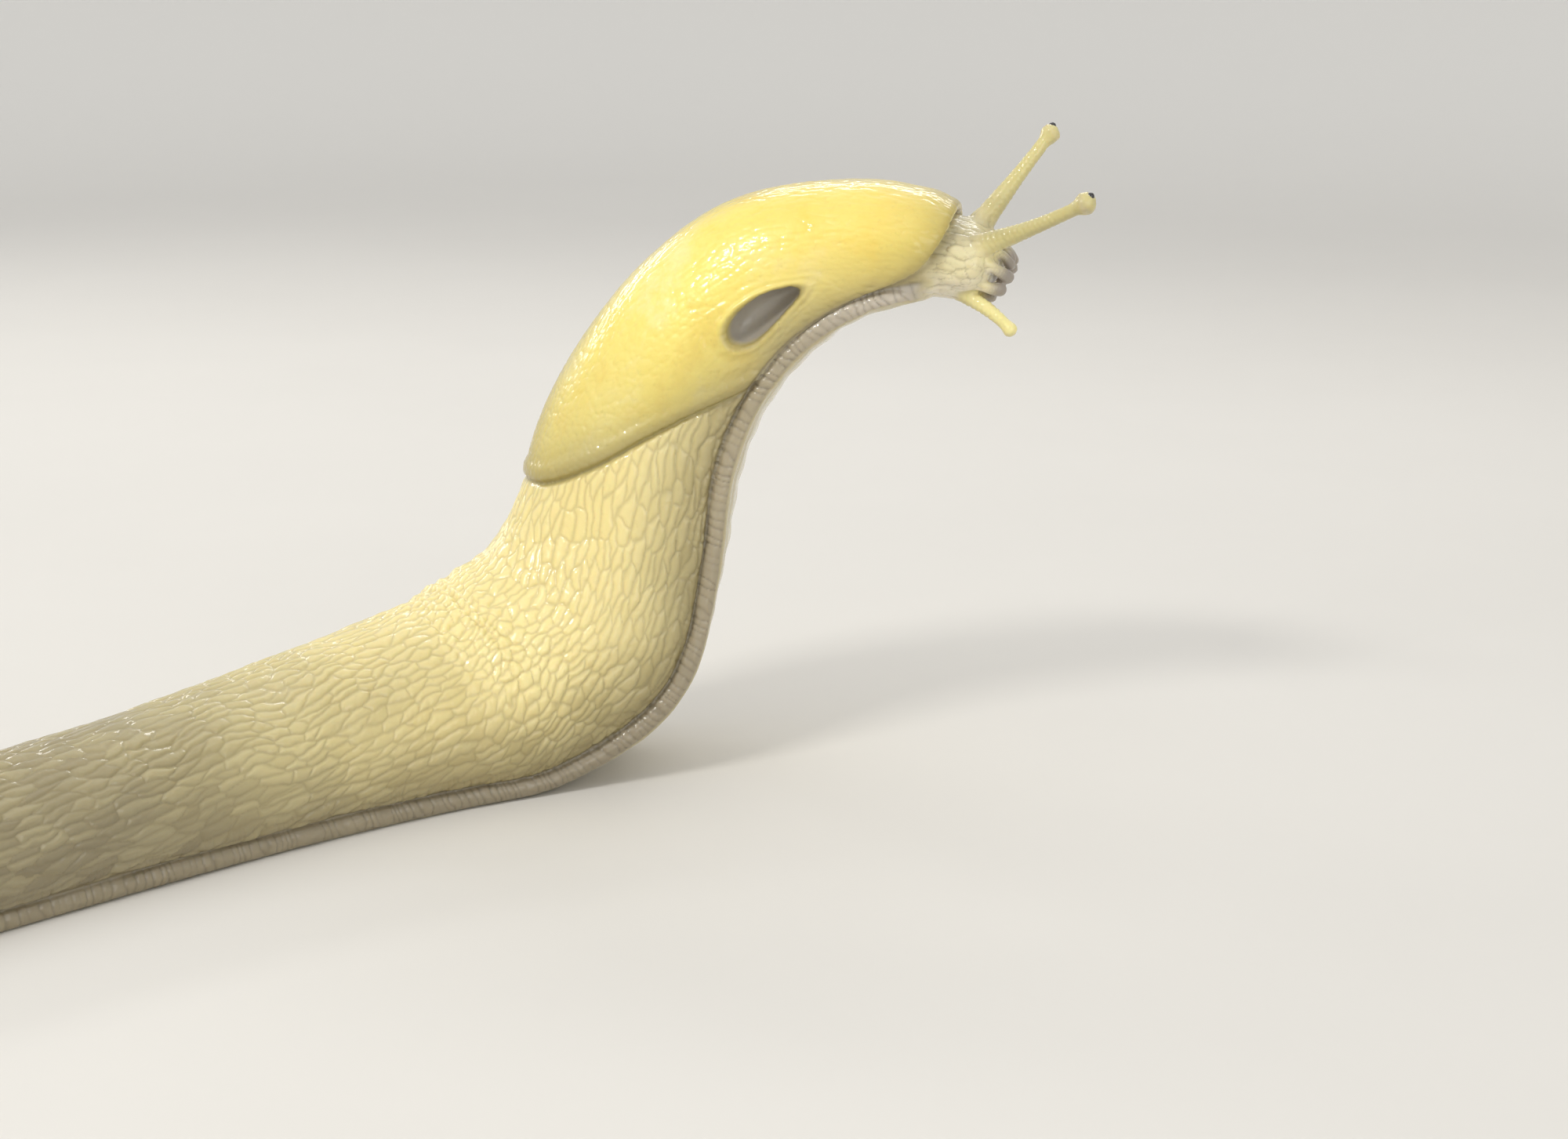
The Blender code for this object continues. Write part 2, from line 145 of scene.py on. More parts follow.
# The line of the sole and the cross-sections' directions, every STEP.
WALK = np.arange(0, STATIONS[-1][0] + STEP / 2, STEP)
_up = np.radians(np.where(WALK < LIFT_OFF, 0, rise(WALK)))
_turn, _tilt = np.radians(heading(WALK)), np.radians(lean(WALK))
_along = np.stack([np.cos(_up) * np.cos(_turn), np.cos(_up) * np.sin(_turn), np.sin(_up)], 1)
MIDDLE = np.concatenate([np.zeros((1, 3)), np.cumsum((_along[1:] + _along[:-1]) / 2 * STEP, 0)])
MIDDLE[:, :2] += np.array(LIFT_OFF_AT) - MIDDLE[int(LIFT_OFF / STEP), :2]
LEFT = np.stack([-np.sin(_turn), np.cos(_turn), 0 * _turn], 1)
UP = np.stack([-np.sin(_tilt) * np.cos(_turn), -np.sin(_tilt) * np.sin(_turn), np.cos(_tilt)], 1)
ONWARD = np.cross(LEFT, UP)


def from_table(table, s):
    """The table's row at each distance s, between its rows by proportion."""
    k = np.clip(np.asarray(s, float) / STEP, 0, len(table) - 1.001)
    i = k.astype(int)
    t = k - i
    return table[i] * (1 - t)[..., None] + table[i + 1] * t[..., None]


def step_up(x, low, high):
    """0 below low, 1 above high, and smooth between."""
    t = np.clip((np.asarray(x, float) - low) / (high - low), 0, 1)
    return t * t * (3 - 2 * t)


def bump_at(x, middle, width):
    return np.exp(-(((x - middle) / width) ** 2))


def outline(s, girth):
    """Sideways and upward place of the outline at a girth angle, and the way out of it."""
    s, girth = np.broadcast_arrays(np.asarray(s, float), np.asarray(girth, float))
    tall, wide, foot = height(s), half_width(s), foot_thickness(s)
    belly = foot + BELLY_LINE * (tall - foot)
    groove = GROOVE_IN * SOLE_SPREAD * wide
    pinch = 1 + KEEL * np.clip((KEEL_ENDS - s) / 80, 0, 1)
    a = np.radians(np.clip(girth, 0, 90))
    t = (np.clip(girth, -GROOVE_ANGLE, 0) / GROOVE_ANGLE + 1) * pi / 2
    low = girth < 0
    b = np.where(low, groove + (wide - groove) * np.sin(t), wide * np.maximum(np.cos(a), 0) ** pinch)
    n = np.where(low, foot + (belly - foot) * (1 - np.cos(t)), belly + (tall - belly) * np.sin(a))
    ob = np.where(low, np.cos(np.radians(girth / 2)), np.cos(a) / wide)
    on = np.where(low, np.sin(np.radians(girth / 2)), np.sin(a) / (tall - belly))
    size = np.hypot(ob, on)
    return b, n, ob / size, on / size


def inside_mantle(s, girth):
    """How far inside the mantle's edge a place is, in mm; negative outside it."""
    ends = np.minimum(s - hind_edge(girth), front_edge(girth) - s)
    return np.minimum(ends, 0.22 * (girth + GROOVE_ANGLE))


def mantle_proud(s, girth):
    a, b = hind_edge(girth), front_edge(girth)
    return PROUD_HIND + (PROUD_FRONT - PROUD_HIND) * np.clip((s - a) / (b - a), 0, 1)


def on_hole(s, girth, side):
    """Place in the breathing hole's own oval: 0 in the middle, 1 at its edge."""
    across = np.radians(girth - HOLE_AT[1]) * 10.6
    x = (s - HOLE_AT[0]) * HOLE_STRETCH / HOLE_SIZE[0]
    y = across / (HOLE_SIZE[1] * (1 - 0.28 * np.clip(x, -1, 1)))
    return np.where(side < 0, np.hypot(x, y), 9.0)


def hole_depth(s, girth, side):
    e = on_hole(s, girth, side)
    return 3.3 * np.clip(1 - e**3, 0, 1) ** 0.6


def body_point(s, girth, side, lift):
    b, n, ob, on = outline(s, girth)
    b, n = b + lift * ob, n + lift * on
    return from_table(MIDDLE, s) + (side * b)[..., None] * from_table(LEFT, s) + n[..., None] * from_table(UP, s)


_a, _b = (body_point(np.array([HOLE_AT[0] + d]), np.array([HOLE_AT[1]]), np.array([-1.0]), np.array([0.0]))[0] for d in (-1, 1))
HOLE_STRETCH = float(np.linalg.norm(_b - _a)) / 2  # mm on the flank for each mm along the sole


# ---------------------------------------------------------------- closed forms to fuse
def grid_faces(rows, columns, around=True):
    """Quads of a grid of points, closed around its columns."""
    i, j = np.meshgrid(np.arange(rows - 1), np.arange(columns if around else columns - 1), indexing="ij")
    k = (j + 1) % columns
    return np.stack([i * columns + j, i * columns + k, (i + 1) * columns + k, (i + 1) * columns + j], -1).reshape(-1, 4)


class Heap:
    """Closed forms gathered into one mesh."""

    def __init__(self):
        self.points, self.faces, self.count = [], [], 0

    def add(self, points, faces):
        self.points.append(points.reshape(-1, 3))
        self.faces += [[int(v) + self.count for v in face] for face in faces]
        self.count += points.reshape(-1, 3).shape[0]

    def loft(self, rings):
        """rings: (rows, columns, 3), capped at both ends."""
        rows, columns = rings.shape[:2]
        quads = list(grid_faces(rows, columns))
        caps = [list(range(columns))[::-1], list(range((rows - 1) * columns, rows * columns))]
        self.add(rings, quads + caps)


def seat(s, girth):
    """How far the body lies under the outline, below the mantle and at the neck."""
    inside = inside_mantle(s, girth)
    under = 1.35 * step_up(inside, -0.25, 1.1) + 0.25 * bump_at(inside, -0.1, 0.45)
    neck = 1.75 * step_up(s, NECK_STARTS + 3, HEAD_STARTS + 1.5)
    return np.maximum(under * step_up(girth, -50, -44), neck)


def trunk_rings():
    """Flanks and back, from inside the foot up."""
    s = np.concatenate([-1.0 + 0 * np.array([0.0]), [-0.97, -0.85, -0.6, -0.3], np.arange(0, 200.01, 0.4)])
    shrink = np.sqrt(np.clip(1 - ((np.minimum(s, 6.0) - 6.0) / 7.0) ** 2, 0.015, 1))
    at = np.maximum(s, 0)
    girths = np.linspace(-46, 90, 74)
    S, G = np.meshgrid(at, girths, indexing="ij")
    b, n, ob, on = outline(S, G)
    lift = -seat(S, G)
    right_hole = np.where(S > 150, hole_depth(S, G, -1.0 + 0 * S) + 0.5 * (on_hole(S, G, -1.0 + 0 * S) < 1.25), 0)
    halves = []
    foot = foot_thickness(at)
    for side, extra in ((-1, right_hole), (1, 0 * right_hole)):
        bb, nn = b + (lift - extra) * ob, n + (lift - extra) * on
        nn = np.maximum(nn, foot[:, None] + 0.1)
        groove = GROOVE_IN * SOLE_SPREAD * half_width(at)
        tuck = np.minimum(bb[:, 0], groove - 0.45 * np.clip(groove / 4, 0.3, 1))
        low_b = np.stack([0 * at, 0.6 * tuck, tuck - 0.1, tuck], 1)
        low_n = np.stack([0.4 * foot, 0.4 * foot, 0.5 * foot, foot - 0.05], 1)
        halves.append((side, np.concatenate([low_b, bb], 1), np.concatenate([low_n, nn], 1)))
    (_, rb, rn), (_, lb, ln) = halves
    B = np.concatenate([-rb, lb[:, -2:0:-1]], 1) * shrink[:, None]
    N = np.concatenate([rn, ln[:, -2:0:-1]], 1) * shrink[:, None]
    start = from_table(MIDDLE, at) + np.minimum(s, 0)[:, None] * _along[0]
    return start[:, None] + B[..., None] * from_table(LEFT, at)[:, None] + N[..., None] * from_table(UP, at)[:, None]


def foot_rings():
    """The sole and the fringe, flat underneath and rounded at the rim and in front."""
    s = np.concatenate([[-1.0, -0.97, -0.85, -0.6, -0.3], np.arange(0, 200.21, 0.4)])
    shrink = np.sqrt(np.clip(1 - ((np.minimum(s, 6.0) - 6.0) / 7.0) ** 2, 0.015, 1))
    at = np.maximum(s, 0)
    thick = foot_thickness(at)
    sole = SOLE_SPREAD * half_width(at) * np.sqrt(np.clip(1 - (np.maximum(at - 193.2, 0) / 7.4) ** 2, 0, 1))
    half = [(0.9 * k / 6, 0.0, 0.0) for k in range(7)]
    half += [(0.955, 0.05, 0.0), (0.985, 0.15, 0.0), (1.0, 0.32, 0.0), (1.003, 0.5, 0.0), (0.99, 0.68, 0.0)]
    half += [(0.97, 0.82, -0.05), (0.95, 0.92, -0.15), (0.93, 0.98, -0.5), (0.88, 1.0, -0.8), (0.4, 1.15, 0.0), (0.0, 1.15, 0.0)]
    b = np.stack([sole * f + np.clip(sole / 5, 0, 1) * d for f, _, d in half], 1)
    n = np.stack([thick * h for _, h, _ in half], 1)
    B = np.concatenate([-b, b[:, -2:0:-1]], 1) * shrink[:, None]
    N = np.concatenate([n, n[:, -2:0:-1]], 1) * shrink[:, None]
    start = from_table(MIDDLE, at) + np.minimum(s, 0)[:, None] * _along[0]
    return start[:, None] + B[..., None] * from_table(LEFT, at)[:, None] + N[..., None] * from_table(UP, at)[:, None]


def add_mantle(heap):
    """A saddle with a round rim, thick enough to sink into the body."""
    girths = np.concatenate([np.linspace(-50, 90, 130), np.linspace(90, -50, 130)[1:]])
    sides = np.where(np.arange(259) < 130, -1.0, 1.0)
    t = (1 - np.cos(np.linspace(0, pi, 151))) / 2
    t = 0.5 * t + 0.5 * np.linspace(0, 1, 151)
    G = np.broadcast_to(girths[:, None], (259, 151))
    side = np.broadcast_to(sides[:, None], G.shape)
    a, b = hind_edge(G), front_edge(G)
    S = a + (b - a) * t
    inside = np.maximum(inside_mantle(S, G), 0)
    round_off = RIM * (1 - np.sqrt(np.clip(1 - (1 - np.minimum(inside / RIM, 1)) ** 2, 0, 1)))
    proud = mantle_proud(S, G) - 0.3 * step_up(S, b - 5, b) ** 1.5 - 0.2 * step_up(-inside, -2.2, 0)
    hole = hole_depth(S, G, side)
    outer = body_point(S, G, side, proud - round_off - hole)
    thick = 2 * RIM + 1.1 * step_up(inside, 1.2, 4)
    inner = body_point(S, G, side, proud - thick + round_off - hole - 0.35 * (hole > 0))
    rows, columns = G.shape
    top = grid_faces(rows, columns, around=False)
    bottom = top[:, ::-1] + rows * columns
    edge = [i * columns for i in range(rows)], [i * columns + columns - 1 for i in range(rows)], list(range(columns)), [(rows - 1) * columns + j for j in range(columns)]
    sewing = []
    for k, line in enumerate(edge):
        for p, q in zip(line, line[1:]):
            face = [p, q, q + rows * columns, p + rows * columns]
            sewing.append(face if k in (0, 3) else face[::-1])
    heap.add(np.concatenate([outer.reshape(-1, 3), inner.reshape(-1, 3)]), list(top[:, ::-1]) + list(bottom[:, ::-1]) + sewing)


# The head's frame.
_t, _p, _r = radians(HEAD_HEADING), radians(HEAD_PITCH), radians(HEAD_ROLL)
H_FORWARD = np.array([cos(_p) * cos(_t), cos(_p) * sin(_t), sin(_p)])
_level_left = np.array([-sin(_t), cos(_t), 0])
_level_up = np.cross(H_FORWARD, _level_left)
H_LEFT = _level_left * cos(_r) + _level_up * sin(_r)
H_UP = _level_up * cos(_r) - _level_left * sin(_r)
H_ORIGIN = from_table(MIDDLE, np.array([HEAD_STARTS]))[0] + _level_up * HEAD_MIDDLE - H_UP * HEAD_MIDDLE
H_AXES = np.stack([H_FORWARD, H_LEFT, H_UP])


def head_point(place):
    return H_ORIGIN + np.asarray(place, float) @ H_AXES


def head_rings():
    rows = np.array(HEAD_ROWS)
    at = np.arange(0, len(rows) - 1 + 1e-6, 0.2)
    f, middle, tall, wide = (smooth_curve(list(enumerate(rows[:, k])))(at) for k in range(4))
    a = np.linspace(0, 2 * pi, 72, endpoint=False)
    b = np.cos(a) * np.maximum(np.abs(np.cos(a)), 1e-6) ** -0.12
    place = np.stack(
        [np.broadcast_to(f[:, None], (len(at), 72)), wide[:, None] * b, middle[:, None] + tall[:, None] * np.sin(a)], -1
    )
    return head_point(place)


def feeler_line(name):
    """The feeler's middle line, as a parabola, from u = 0 at the base to 1 in the knob."""
    b, m, t = (np.array(p, float) for p in FEELERS[name][:3])
    control = 2 * m - (b + t) / 2

    def line(u):
        u = np.asarray(u, float)[..., None]
        return head_point((1 - u) ** 2 * b + 2 * u * (1 - u) * control + u**2 * t)

    return line


def square_to(direction):
    side = np.cross(direction, np.broadcast_to([0.0, 0.0, 1.0], direction.shape))
    side /= np.linalg.norm(side, axis=-1, keepdims=True)
    return side, np.cross(side, direction)


def feeler_size(name, u, length):
    """Radius along the feeler: a wide root, a thin shaft and a knob."""
    root, mid, thin, knob = FEELERS[name][3]
    shaft = smooth_curve(((0, root), (0.3, (root + 2 * mid) / 3), (0.55, mid), (1, thin)))(u)
    past = (u - 1) * length
    ball = np.sqrt(np.clip(knob**2 - past**2, 0, None))
    return np.where(past > 0, ball, shaft + (knob - shaft) * step_up(past, -1.45 * knob, -0.05 * knob))


def feeler_length(line):
    p = line(np.linspace(0, 1, 41))
    return float(np.linalg.norm(np.diff(p, axis=0), axis=1).sum())


def feeler_rings(name):
    line = feeler_line(name)
    length = feeler_length(line)
    knob = FEELERS[name][3][3]
    u = np.concatenate([np.linspace(-0.08, 1 - knob / length, 46), 1 + np.cos(np.linspace(pi, 0.03, 26)) [1:] * knob / length])
    size = feeler_size(name, np.maximum(u, 0), length)
    size[-1] = 0.03 * knob
    ahead = line(u + 0.005) - line(u - 0.005)
    ahead /= np.linalg.norm(ahead, axis=1, keepdims=True)
    side, up = square_to(ahead)
    a = np.linspace(0, 2 * pi, 28, endpoint=False)
    return line(u)[:, None] + size[:, None, None] * (
        np.cos(a)[None, :, None] * side[:, None] + np.sin(a)[None, :, None] * up[:, None]
    )


def eye_place(name):
    """The eye's centre, on the upper front of the feeler's knob, and the way it looks."""
    line = feeler_line(name)
    forward = line(1.0) - line(0.9)
    forward /= np.linalg.norm(forward)
    look = forward + 0.55 * square_to(forward)[1]
    look /= np.linalg.norm(look)
    return line(1.0) + look * (FEELERS[name][3][3] - 0.62 * EYE_RADIUS), look


_m = radians(MOUTH_PITCH)
MOUTH_AXIS, MOUTH_ACROSS, MOUTH_UPRIGHT = np.array([cos(_m), 0, sin(_m)]), np.array([0, 1.0, 0]), np.array([-sin(_m), 0, cos(_m)])


LOBES = (  # angle round the mouth from the top (the near side is negative), where it starts, reach, thickness
    (-158, 4.6, 1.2, 0.66),
    (-126, 4.9, 1.75, 0.72),
    (-93, 5.3, 2.15, 0.74),
    (-59, 5.8, 2.15, 0.68),
    (-27, 6.3, 1.6, 0.56),
    (4, 6.5, 1.35, 0.52),
    (36, 6.2, 1.7, 0.58),
    (68, 5.7, 2.05, 0.68),
    (102, 5.2, 2.0, 0.72),
    (136, 4.8, 1.55, 0.7),
    (166, 4.6, 1.1, 0.62),
)


def head_size(f):
    rows = np.array(HEAD_ROWS)
    return (np.interp(f, rows[:, 0], rows[:, k]) for k in (1, 2, 3))


def muzzle_point(f, angle, lift):
    """On the muzzle's surface, looking out from the mouth's axis at this angle."""
    middle, tall, wide = head_size(f)
    a, drop = radians(angle), MOUTH_AT[2] - middle
    dl, du = sin(a), cos(a)
    A = (dl / wide) ** 2 + (du / tall) ** 2
    B = 2 * drop * du / tall**2
    C = (drop / tall) ** 2 - 1
    r = (-B + np.sqrt(max(B * B - 4 * A * C, 0))) / (2 * A)
    return np.array([f, (r + lift) * dl, MOUTH_AT[2] + (r + lift) * du])


def lip_rings(k):
    """One lobe of the lips: a blunt finger that lies on the muzzle and ends free."""
    angle, back, reach, thick = LOBES[k]
    a = radians(angle)
    out = cos(a) * MOUTH_UPRIGHT + sin(a) * MOUTH_ACROSS
    base = muzzle_point(back, angle, -0.8 * thick)
    tip = np.array(MOUTH_AT) + out * (LIP_RADIUS - 0.1 * thick) + MOUTH_AXIS * reach
    bend = 0.5 * (base + tip) + 0.7 * out + 0.2 * MOUTH_AXIS
    t = np.concatenate([np.linspace(0, 0.78, 12), 0.78 + 0.22 * np.sin(np.linspace(0, pi / 2 - 0.03, 10))[1:]])
    length = np.linalg.norm(tip - base) * 1.06
    cap = np.clip(1 - (np.maximum(t - (1 - thick / length), 0) / (thick / length)) ** 2, 0.004, 1) ** 0.5
    size = thick * (0.78 + 0.22 * step_up(t, 0.3, 0.8)) * cap
    place = ((1 - t) ** 2)[:, None] * base + (2 * t * (1 - t))[:, None] * bend + (t**2)[:, None] * tip
    ahead = np.gradient(place, axis=0)
    ahead /= np.linalg.norm(ahead, axis=1, keepdims=True)
    wide = np.cross(ahead, out)
    wide /= np.linalg.norm(wide, axis=1, keepdims=True)
    deep = np.cross(wide, ahead)
    c = np.linspace(0, 2 * pi, 24, endpoint=False)
    rings = place[:, None] + size[:, None, None] * (
        1.08 * np.cos(c)[None, :, None] * wide[:, None] + 0.95 * np.sin(c)[None, :, None] * deep[:, None]
    )
    return head_point(rings)


def lip_core():
    """The muzzle's blunt end inside the ring of lobes."""
    rows = ((-2.6, 2.9), (-1.2, 2.75), (-0.3, 2.45), (0.35, 1.95), (0.7, 1.25), (0.8, 0.4))
    c = np.linspace(0, 2 * pi, 24, endpoint=False)[:, None]
    return head_point(np.array([np.array(MOUTH_AT) + MOUTH_AXIS * x + r * (np.cos(c) * MOUTH_UPRIGHT + np.sin(c) * MOUTH_ACROSS) for x, r in rows]))


def drop_crumbs(mesh):
    """Keeps the largest piece of a mesh: the remesh can leave a lone cube where two forms just miss each other."""
    ends = np.empty(len(mesh.edges) * 2, np.int32)
    mesh.edges.foreach_get("vertices", ends)
    a, b = ends.reshape(-1, 2).T
    piece = np.arange(len(mesh.vertices))
    while True:
        at_a, at_b = piece[a], piece[b]
        apart = at_a != at_b
        if not apart.any():
            break
        piece[np.maximum(at_a, at_b)[apart]] = np.minimum(at_a, at_b)[apart]
        while (piece[piece] != piece).any():
            piece = piece[piece]
    main = np.bincount(piece).argmax()
    if (piece == main).all():
        return
    bm = bmesh.new()
    bm.from_mesh(mesh)
    bm.verts.ensure_lookup_table()
    bmesh.ops.delete(bm, geom=[bm.verts[int(k)] for k in np.nonzero(piece != main)[0]], context="VERTS")
    bm.to_mesh(mesh)
    bm.free()


def fuse(heap):
    """One closed skin round all the forms, in even squares."""
    mesh = bpy.data.meshes.new("forms")
    mesh.from_pydata(np.concatenate(heap.points), [], heap.faces)
    bm = bmesh.new()
    bm.from_mesh(mesh)
    bmesh.ops.recalc_face_normals(bm, faces=bm.faces)
    bm.to_mesh(mesh)
    bm.free()
    forms = bpy.data.objects.new("forms", mesh)
    bpy.context.scene.collection.objects.link(forms)
    wrap = forms.modifiers.new("wrap", "REMESH")
    wrap.mode, wrap.voxel_size, wrap.adaptivity = "VOXEL", VOXEL, 0
    skin = bpy.data.meshes.new_from_object(forms.evaluated_get(bpy.context.evaluated_depsgraph_get()))
    bpy.data.objects.remove(forms)
    bpy.data.meshes.remove(mesh)
    drop_crumbs(skin)
    return skin


heap = Heap()
heap.loft(trunk_rings())
heap.loft(foot_rings())
add_mantle(heap)
heap.loft(head_rings())
for _name in FEELERS:
    heap.loft(feeler_rings(_name))
for _k in range(len(LOBES)):
    heap.loft(lip_rings(_k))
heap.loft(lip_core())
skin_mesh = fuse(heap)
skin_mesh.name = "slug_skin"

count = len(skin_mesh.vertices)
P = np.empty(count * 3, np.float32)
skin_mesh.vertices.foreach_get("co", P)
P = P.reshape(-1, 3).astype(float)
QUADS = np.empty(len(skin_mesh.loops), np.int32)
skin_mesh.loops.foreach_get("vertex_index", QUADS)
sizes = np.empty(len(skin_mesh.polygons), np.int32)
skin_mesh.polygons.foreach_get("loop_total", sizes)
assert (sizes == 4).all()
QUADS = QUADS.reshape(-1, 4)
EDGES = np.empty(len(skin_mesh.edges) * 2, np.int32)
skin_mesh.edges.foreach_get("vertices", EDGES)
EDGES = EDGES.reshape(-1, 2)
print("skin:", count, "points", len(QUADS), "quads")

_ends = np.concatenate([EDGES[:, 0], EDGES[:, 1]])
_others = np.concatenate([EDGES[:, 1], EDGES[:, 0]])
_order = np.argsort(_ends, kind="stable")
_others = _others[_order]
_starts = np.searchsorted(_ends[_order], np.arange(count))
VALENCE = np.bincount(_ends, minlength=count).astype(float)


def neighbours(values):
    """The mean of each point's neighbours."""
    summed = np.add.reduceat(values[_others], _starts, axis=0)
    return summed / (VALENCE[:, None] if values.ndim == 2 else VALENCE)


def relax(points, rounds, weight=1.0):
    weight = np.broadcast_to(weight, (count,))[:, None]
    for _ in range(rounds):
        points = points + 0.5 * weight * (neighbours(points) - points)
    return points


def polish(points, rounds):
    """Smooths without shrinking."""
    for _ in range(rounds):
        points = points + 0.55 * (neighbours(points) - points)
        points = points - 0.57 * (neighbours(points) - points)
    return points


def normals(points):
    a, b, c, d = (points[QUADS[:, k]] for k in range(4))
    face = np.cross(c - a, d - b)
    total = np.zeros((count, 3))
    for k in range(4):
        for axis in range(3):
            total[:, axis] += np.bincount(QUADS[:, k], face[:, axis], count)
    return total / np.maximum(np.linalg.norm(total, axis=1, keepdims=True), 1e-12)


# ---------------------------------------------------------------- where each point lies
def locate(points):
    """Distance along the body, and the place in the cross-section there."""
    coarse = np.arange(0, len(WALK), 8)
    hearts = MIDDLE[coarse] + UP[coarse] * (0.45 * height(WALK[coarse]))[:, None]
    k = np.empty(len(points))
    for i in range(0, len(points), 60000):
        part = points[i : i + 60000]
        apart = (hearts**2).sum(1)[None] - 2 * part @ hearts.T
        k[i : i + 60000] = coarse[np.argmin(apart, 1)]
    last = len(WALK) - 2
    for _ in range(7):
        i = np.clip(k.astype(int), 0, last)
        here = ((points - MIDDLE[i]) * ONWARD[i]).sum(1)
        there = ((points - MIDDLE[i + 1]) * ONWARD[i + 1]).sum(1)
        drop = here - there
        drop = np.where(np.abs(drop) < 0.02, 0.02, drop)
        k = np.clip(i + np.clip(here / drop, -12, 12), 0, last + 0.999)
    s = k * STEP
    away = points - from_table(MIDDLE, s)
    b, n = (away * from_table(LEFT, s)).sum(1), (away * from_table(UP, s)).sum(1)
    return s, b, n


def girth_of(s, b, n):
    tall, wide, foot = height(s), half_width(s), foot_thickness(s)
    belly = foot + BELLY_LINE * (tall - foot)
    pinch = 1 + KEEL * np.clip((KEEL_ENDS - s) / 80, 0, 1)
    high = np.degrees(np.arctan2((n - belly) / (tall - belly), np.maximum(np.abs(b) / wide, 1e-6) ** (1 / pinch)))
    low = (np.arccos(np.clip(1 - (n - foot) / (belly - foot), 0, 1)) * 2 / pi - 1) * GROOVE_ANGLE
    girth = np.where(n >= belly, high, low)
    lift = (np.hypot(b / wide, (n - belly) / np.where(n > belly, tall - belly, (belly - foot) * 4)) - 1) * 0.8 * wide
    return girth, lift


# Length round the body from the back's ridge, by distance and girth angle.
_gs, _gg = np.arange(0, 202.5, 1.0), np.linspace(90, -GROOVE_ANGLE, 71)
_b, _n, _, _ = outline(_gs[:, None], _gg[None])
_arc = np.concatenate([np.zeros((len(_gs), 1)), np.cumsum(np.hypot(np.diff(_b, axis=1), np.diff(_n, axis=1)), 1)], 1)


def arc_length(s, girth):
    x, y = np.clip(s, 0, 201.99), np.clip((90 - girth) / 2, 0, 69.999)
    i, j = x.astype(int), y.astype(int)
    u, v = x - i, y - j
    return (
        _arc[i, j] * (1 - u) * (1 - v) + _arc[i + 1, j] * u * (1 - v) + _arc[i, j + 1] * (1 - u) * v + _arc[i + 1, j + 1] * u * v
    )


# ---------------------------------------------------------------- patterns
def scatter(seed, *cells):
    """A number from 0 to 1 that looks random, for each whole-numbered cell."""
    h = np.full(cells[0].shape, (seed * 2654435761) & 0xFFFFFFFF, np.uint64)
    for cell, prime in zip(cells, (374761393, 668265263, 2246822519)):
        h = (h ^ (cell.astype(np.int64) & 0xFFFFFFFF).astype(np.uint64)) * np.uint64(prime) & np.uint64(0xFFFFFFFF)
        h = (h ^ (h >> np.uint64(15))) * np.uint64(2246822519) & np.uint64(0xFFFFFFFF)
        h = h ^ (h >> np.uint64(13))
    return (h & np.uint64(0xFFFFFF)).astype(float) / 0xFFFFFF


def soft_noise(seed, *axes):
    """Smooth noise from -1 to 1 over two or three coordinates, one cell wide."""
    low = [np.floor(x) for x in axes]
    part = [x - l for x, l in zip(axes, low)]
    part = [t * t * t * (t * (t * 6 - 15) + 10) for t in part]
    low = [l.astype(np.int64) for l in low]
    total = 0
    for corner in range(2 ** len(axes)):
        weight, cell = 1.0, []
        for k, (l, t) in enumerate(zip(low, part)):
            bit = corner >> k & 1
            weight = weight * (t if bit else 1 - t)
            cell.append(l + bit)
        total = total + weight * scatter(seed, *cell)
    return total * 2 - 1


def cells_2d(seed, x, y, long, wide, jitter=0.4):
    """Polygonal cells of about long by wide mm: the distance in mm to the nearest
    border, a number for the cell, and the square of the distance to its middle in
    cells. Every other row is shifted by half a cell."""
    X, Y = x / long, y / wide
    row, column = np.floor(Y).astype(np.int64), None
    near, cx, cy, who = np.full(X.shape, 9.0), None, None, None
    spots = []
    for dj in (-1, 0, 1):
        j = row + dj
        shift = 0.5 * (j & 1)
        i0 = np.floor(X - shift).astype(np.int64)
        for di in (-1, 0, 1):
            i = i0 + di
            px = i + 0.5 + shift + jitter * (scatter(seed, i, j) - 0.5) * 2
            py = j + 0.5 + jitter * (scatter(seed + 1, i, j) - 0.5) * 1.6
            spots.append((px, py, i, j))
            d = (px - X) ** 2 + (py - Y) ** 2
            if who is None:
                near, cx, cy, who = d, px, py, scatter(seed + 2, i, j)
            else:
                better = d < near
                near = np.where(better, d, near)
                cx, cy = np.where(better, px, cx), np.where(better, py, cy)
                who = np.where(better, scatter(seed + 2, i, j), who)
    border = np.full(X.shape, 9.0)
    for px, py, _, _ in spots:
        nx, ny = px - cx, py - cy
        size = np.hypot(nx, ny)
        other = size > 1e-6
        size = np.where(other, size, 1)
        nx, ny = nx / size, ny / size
        away = (0.5 * (px + cx) - X) * nx + (0.5 * (py + cy) - Y) * ny
        away = away / np.maximum(np.hypot(nx / long, ny / wide), 1e-9)
        border = np.where(other, np.minimum(border, away), border)
    return np.maximum(border, 0), who, near


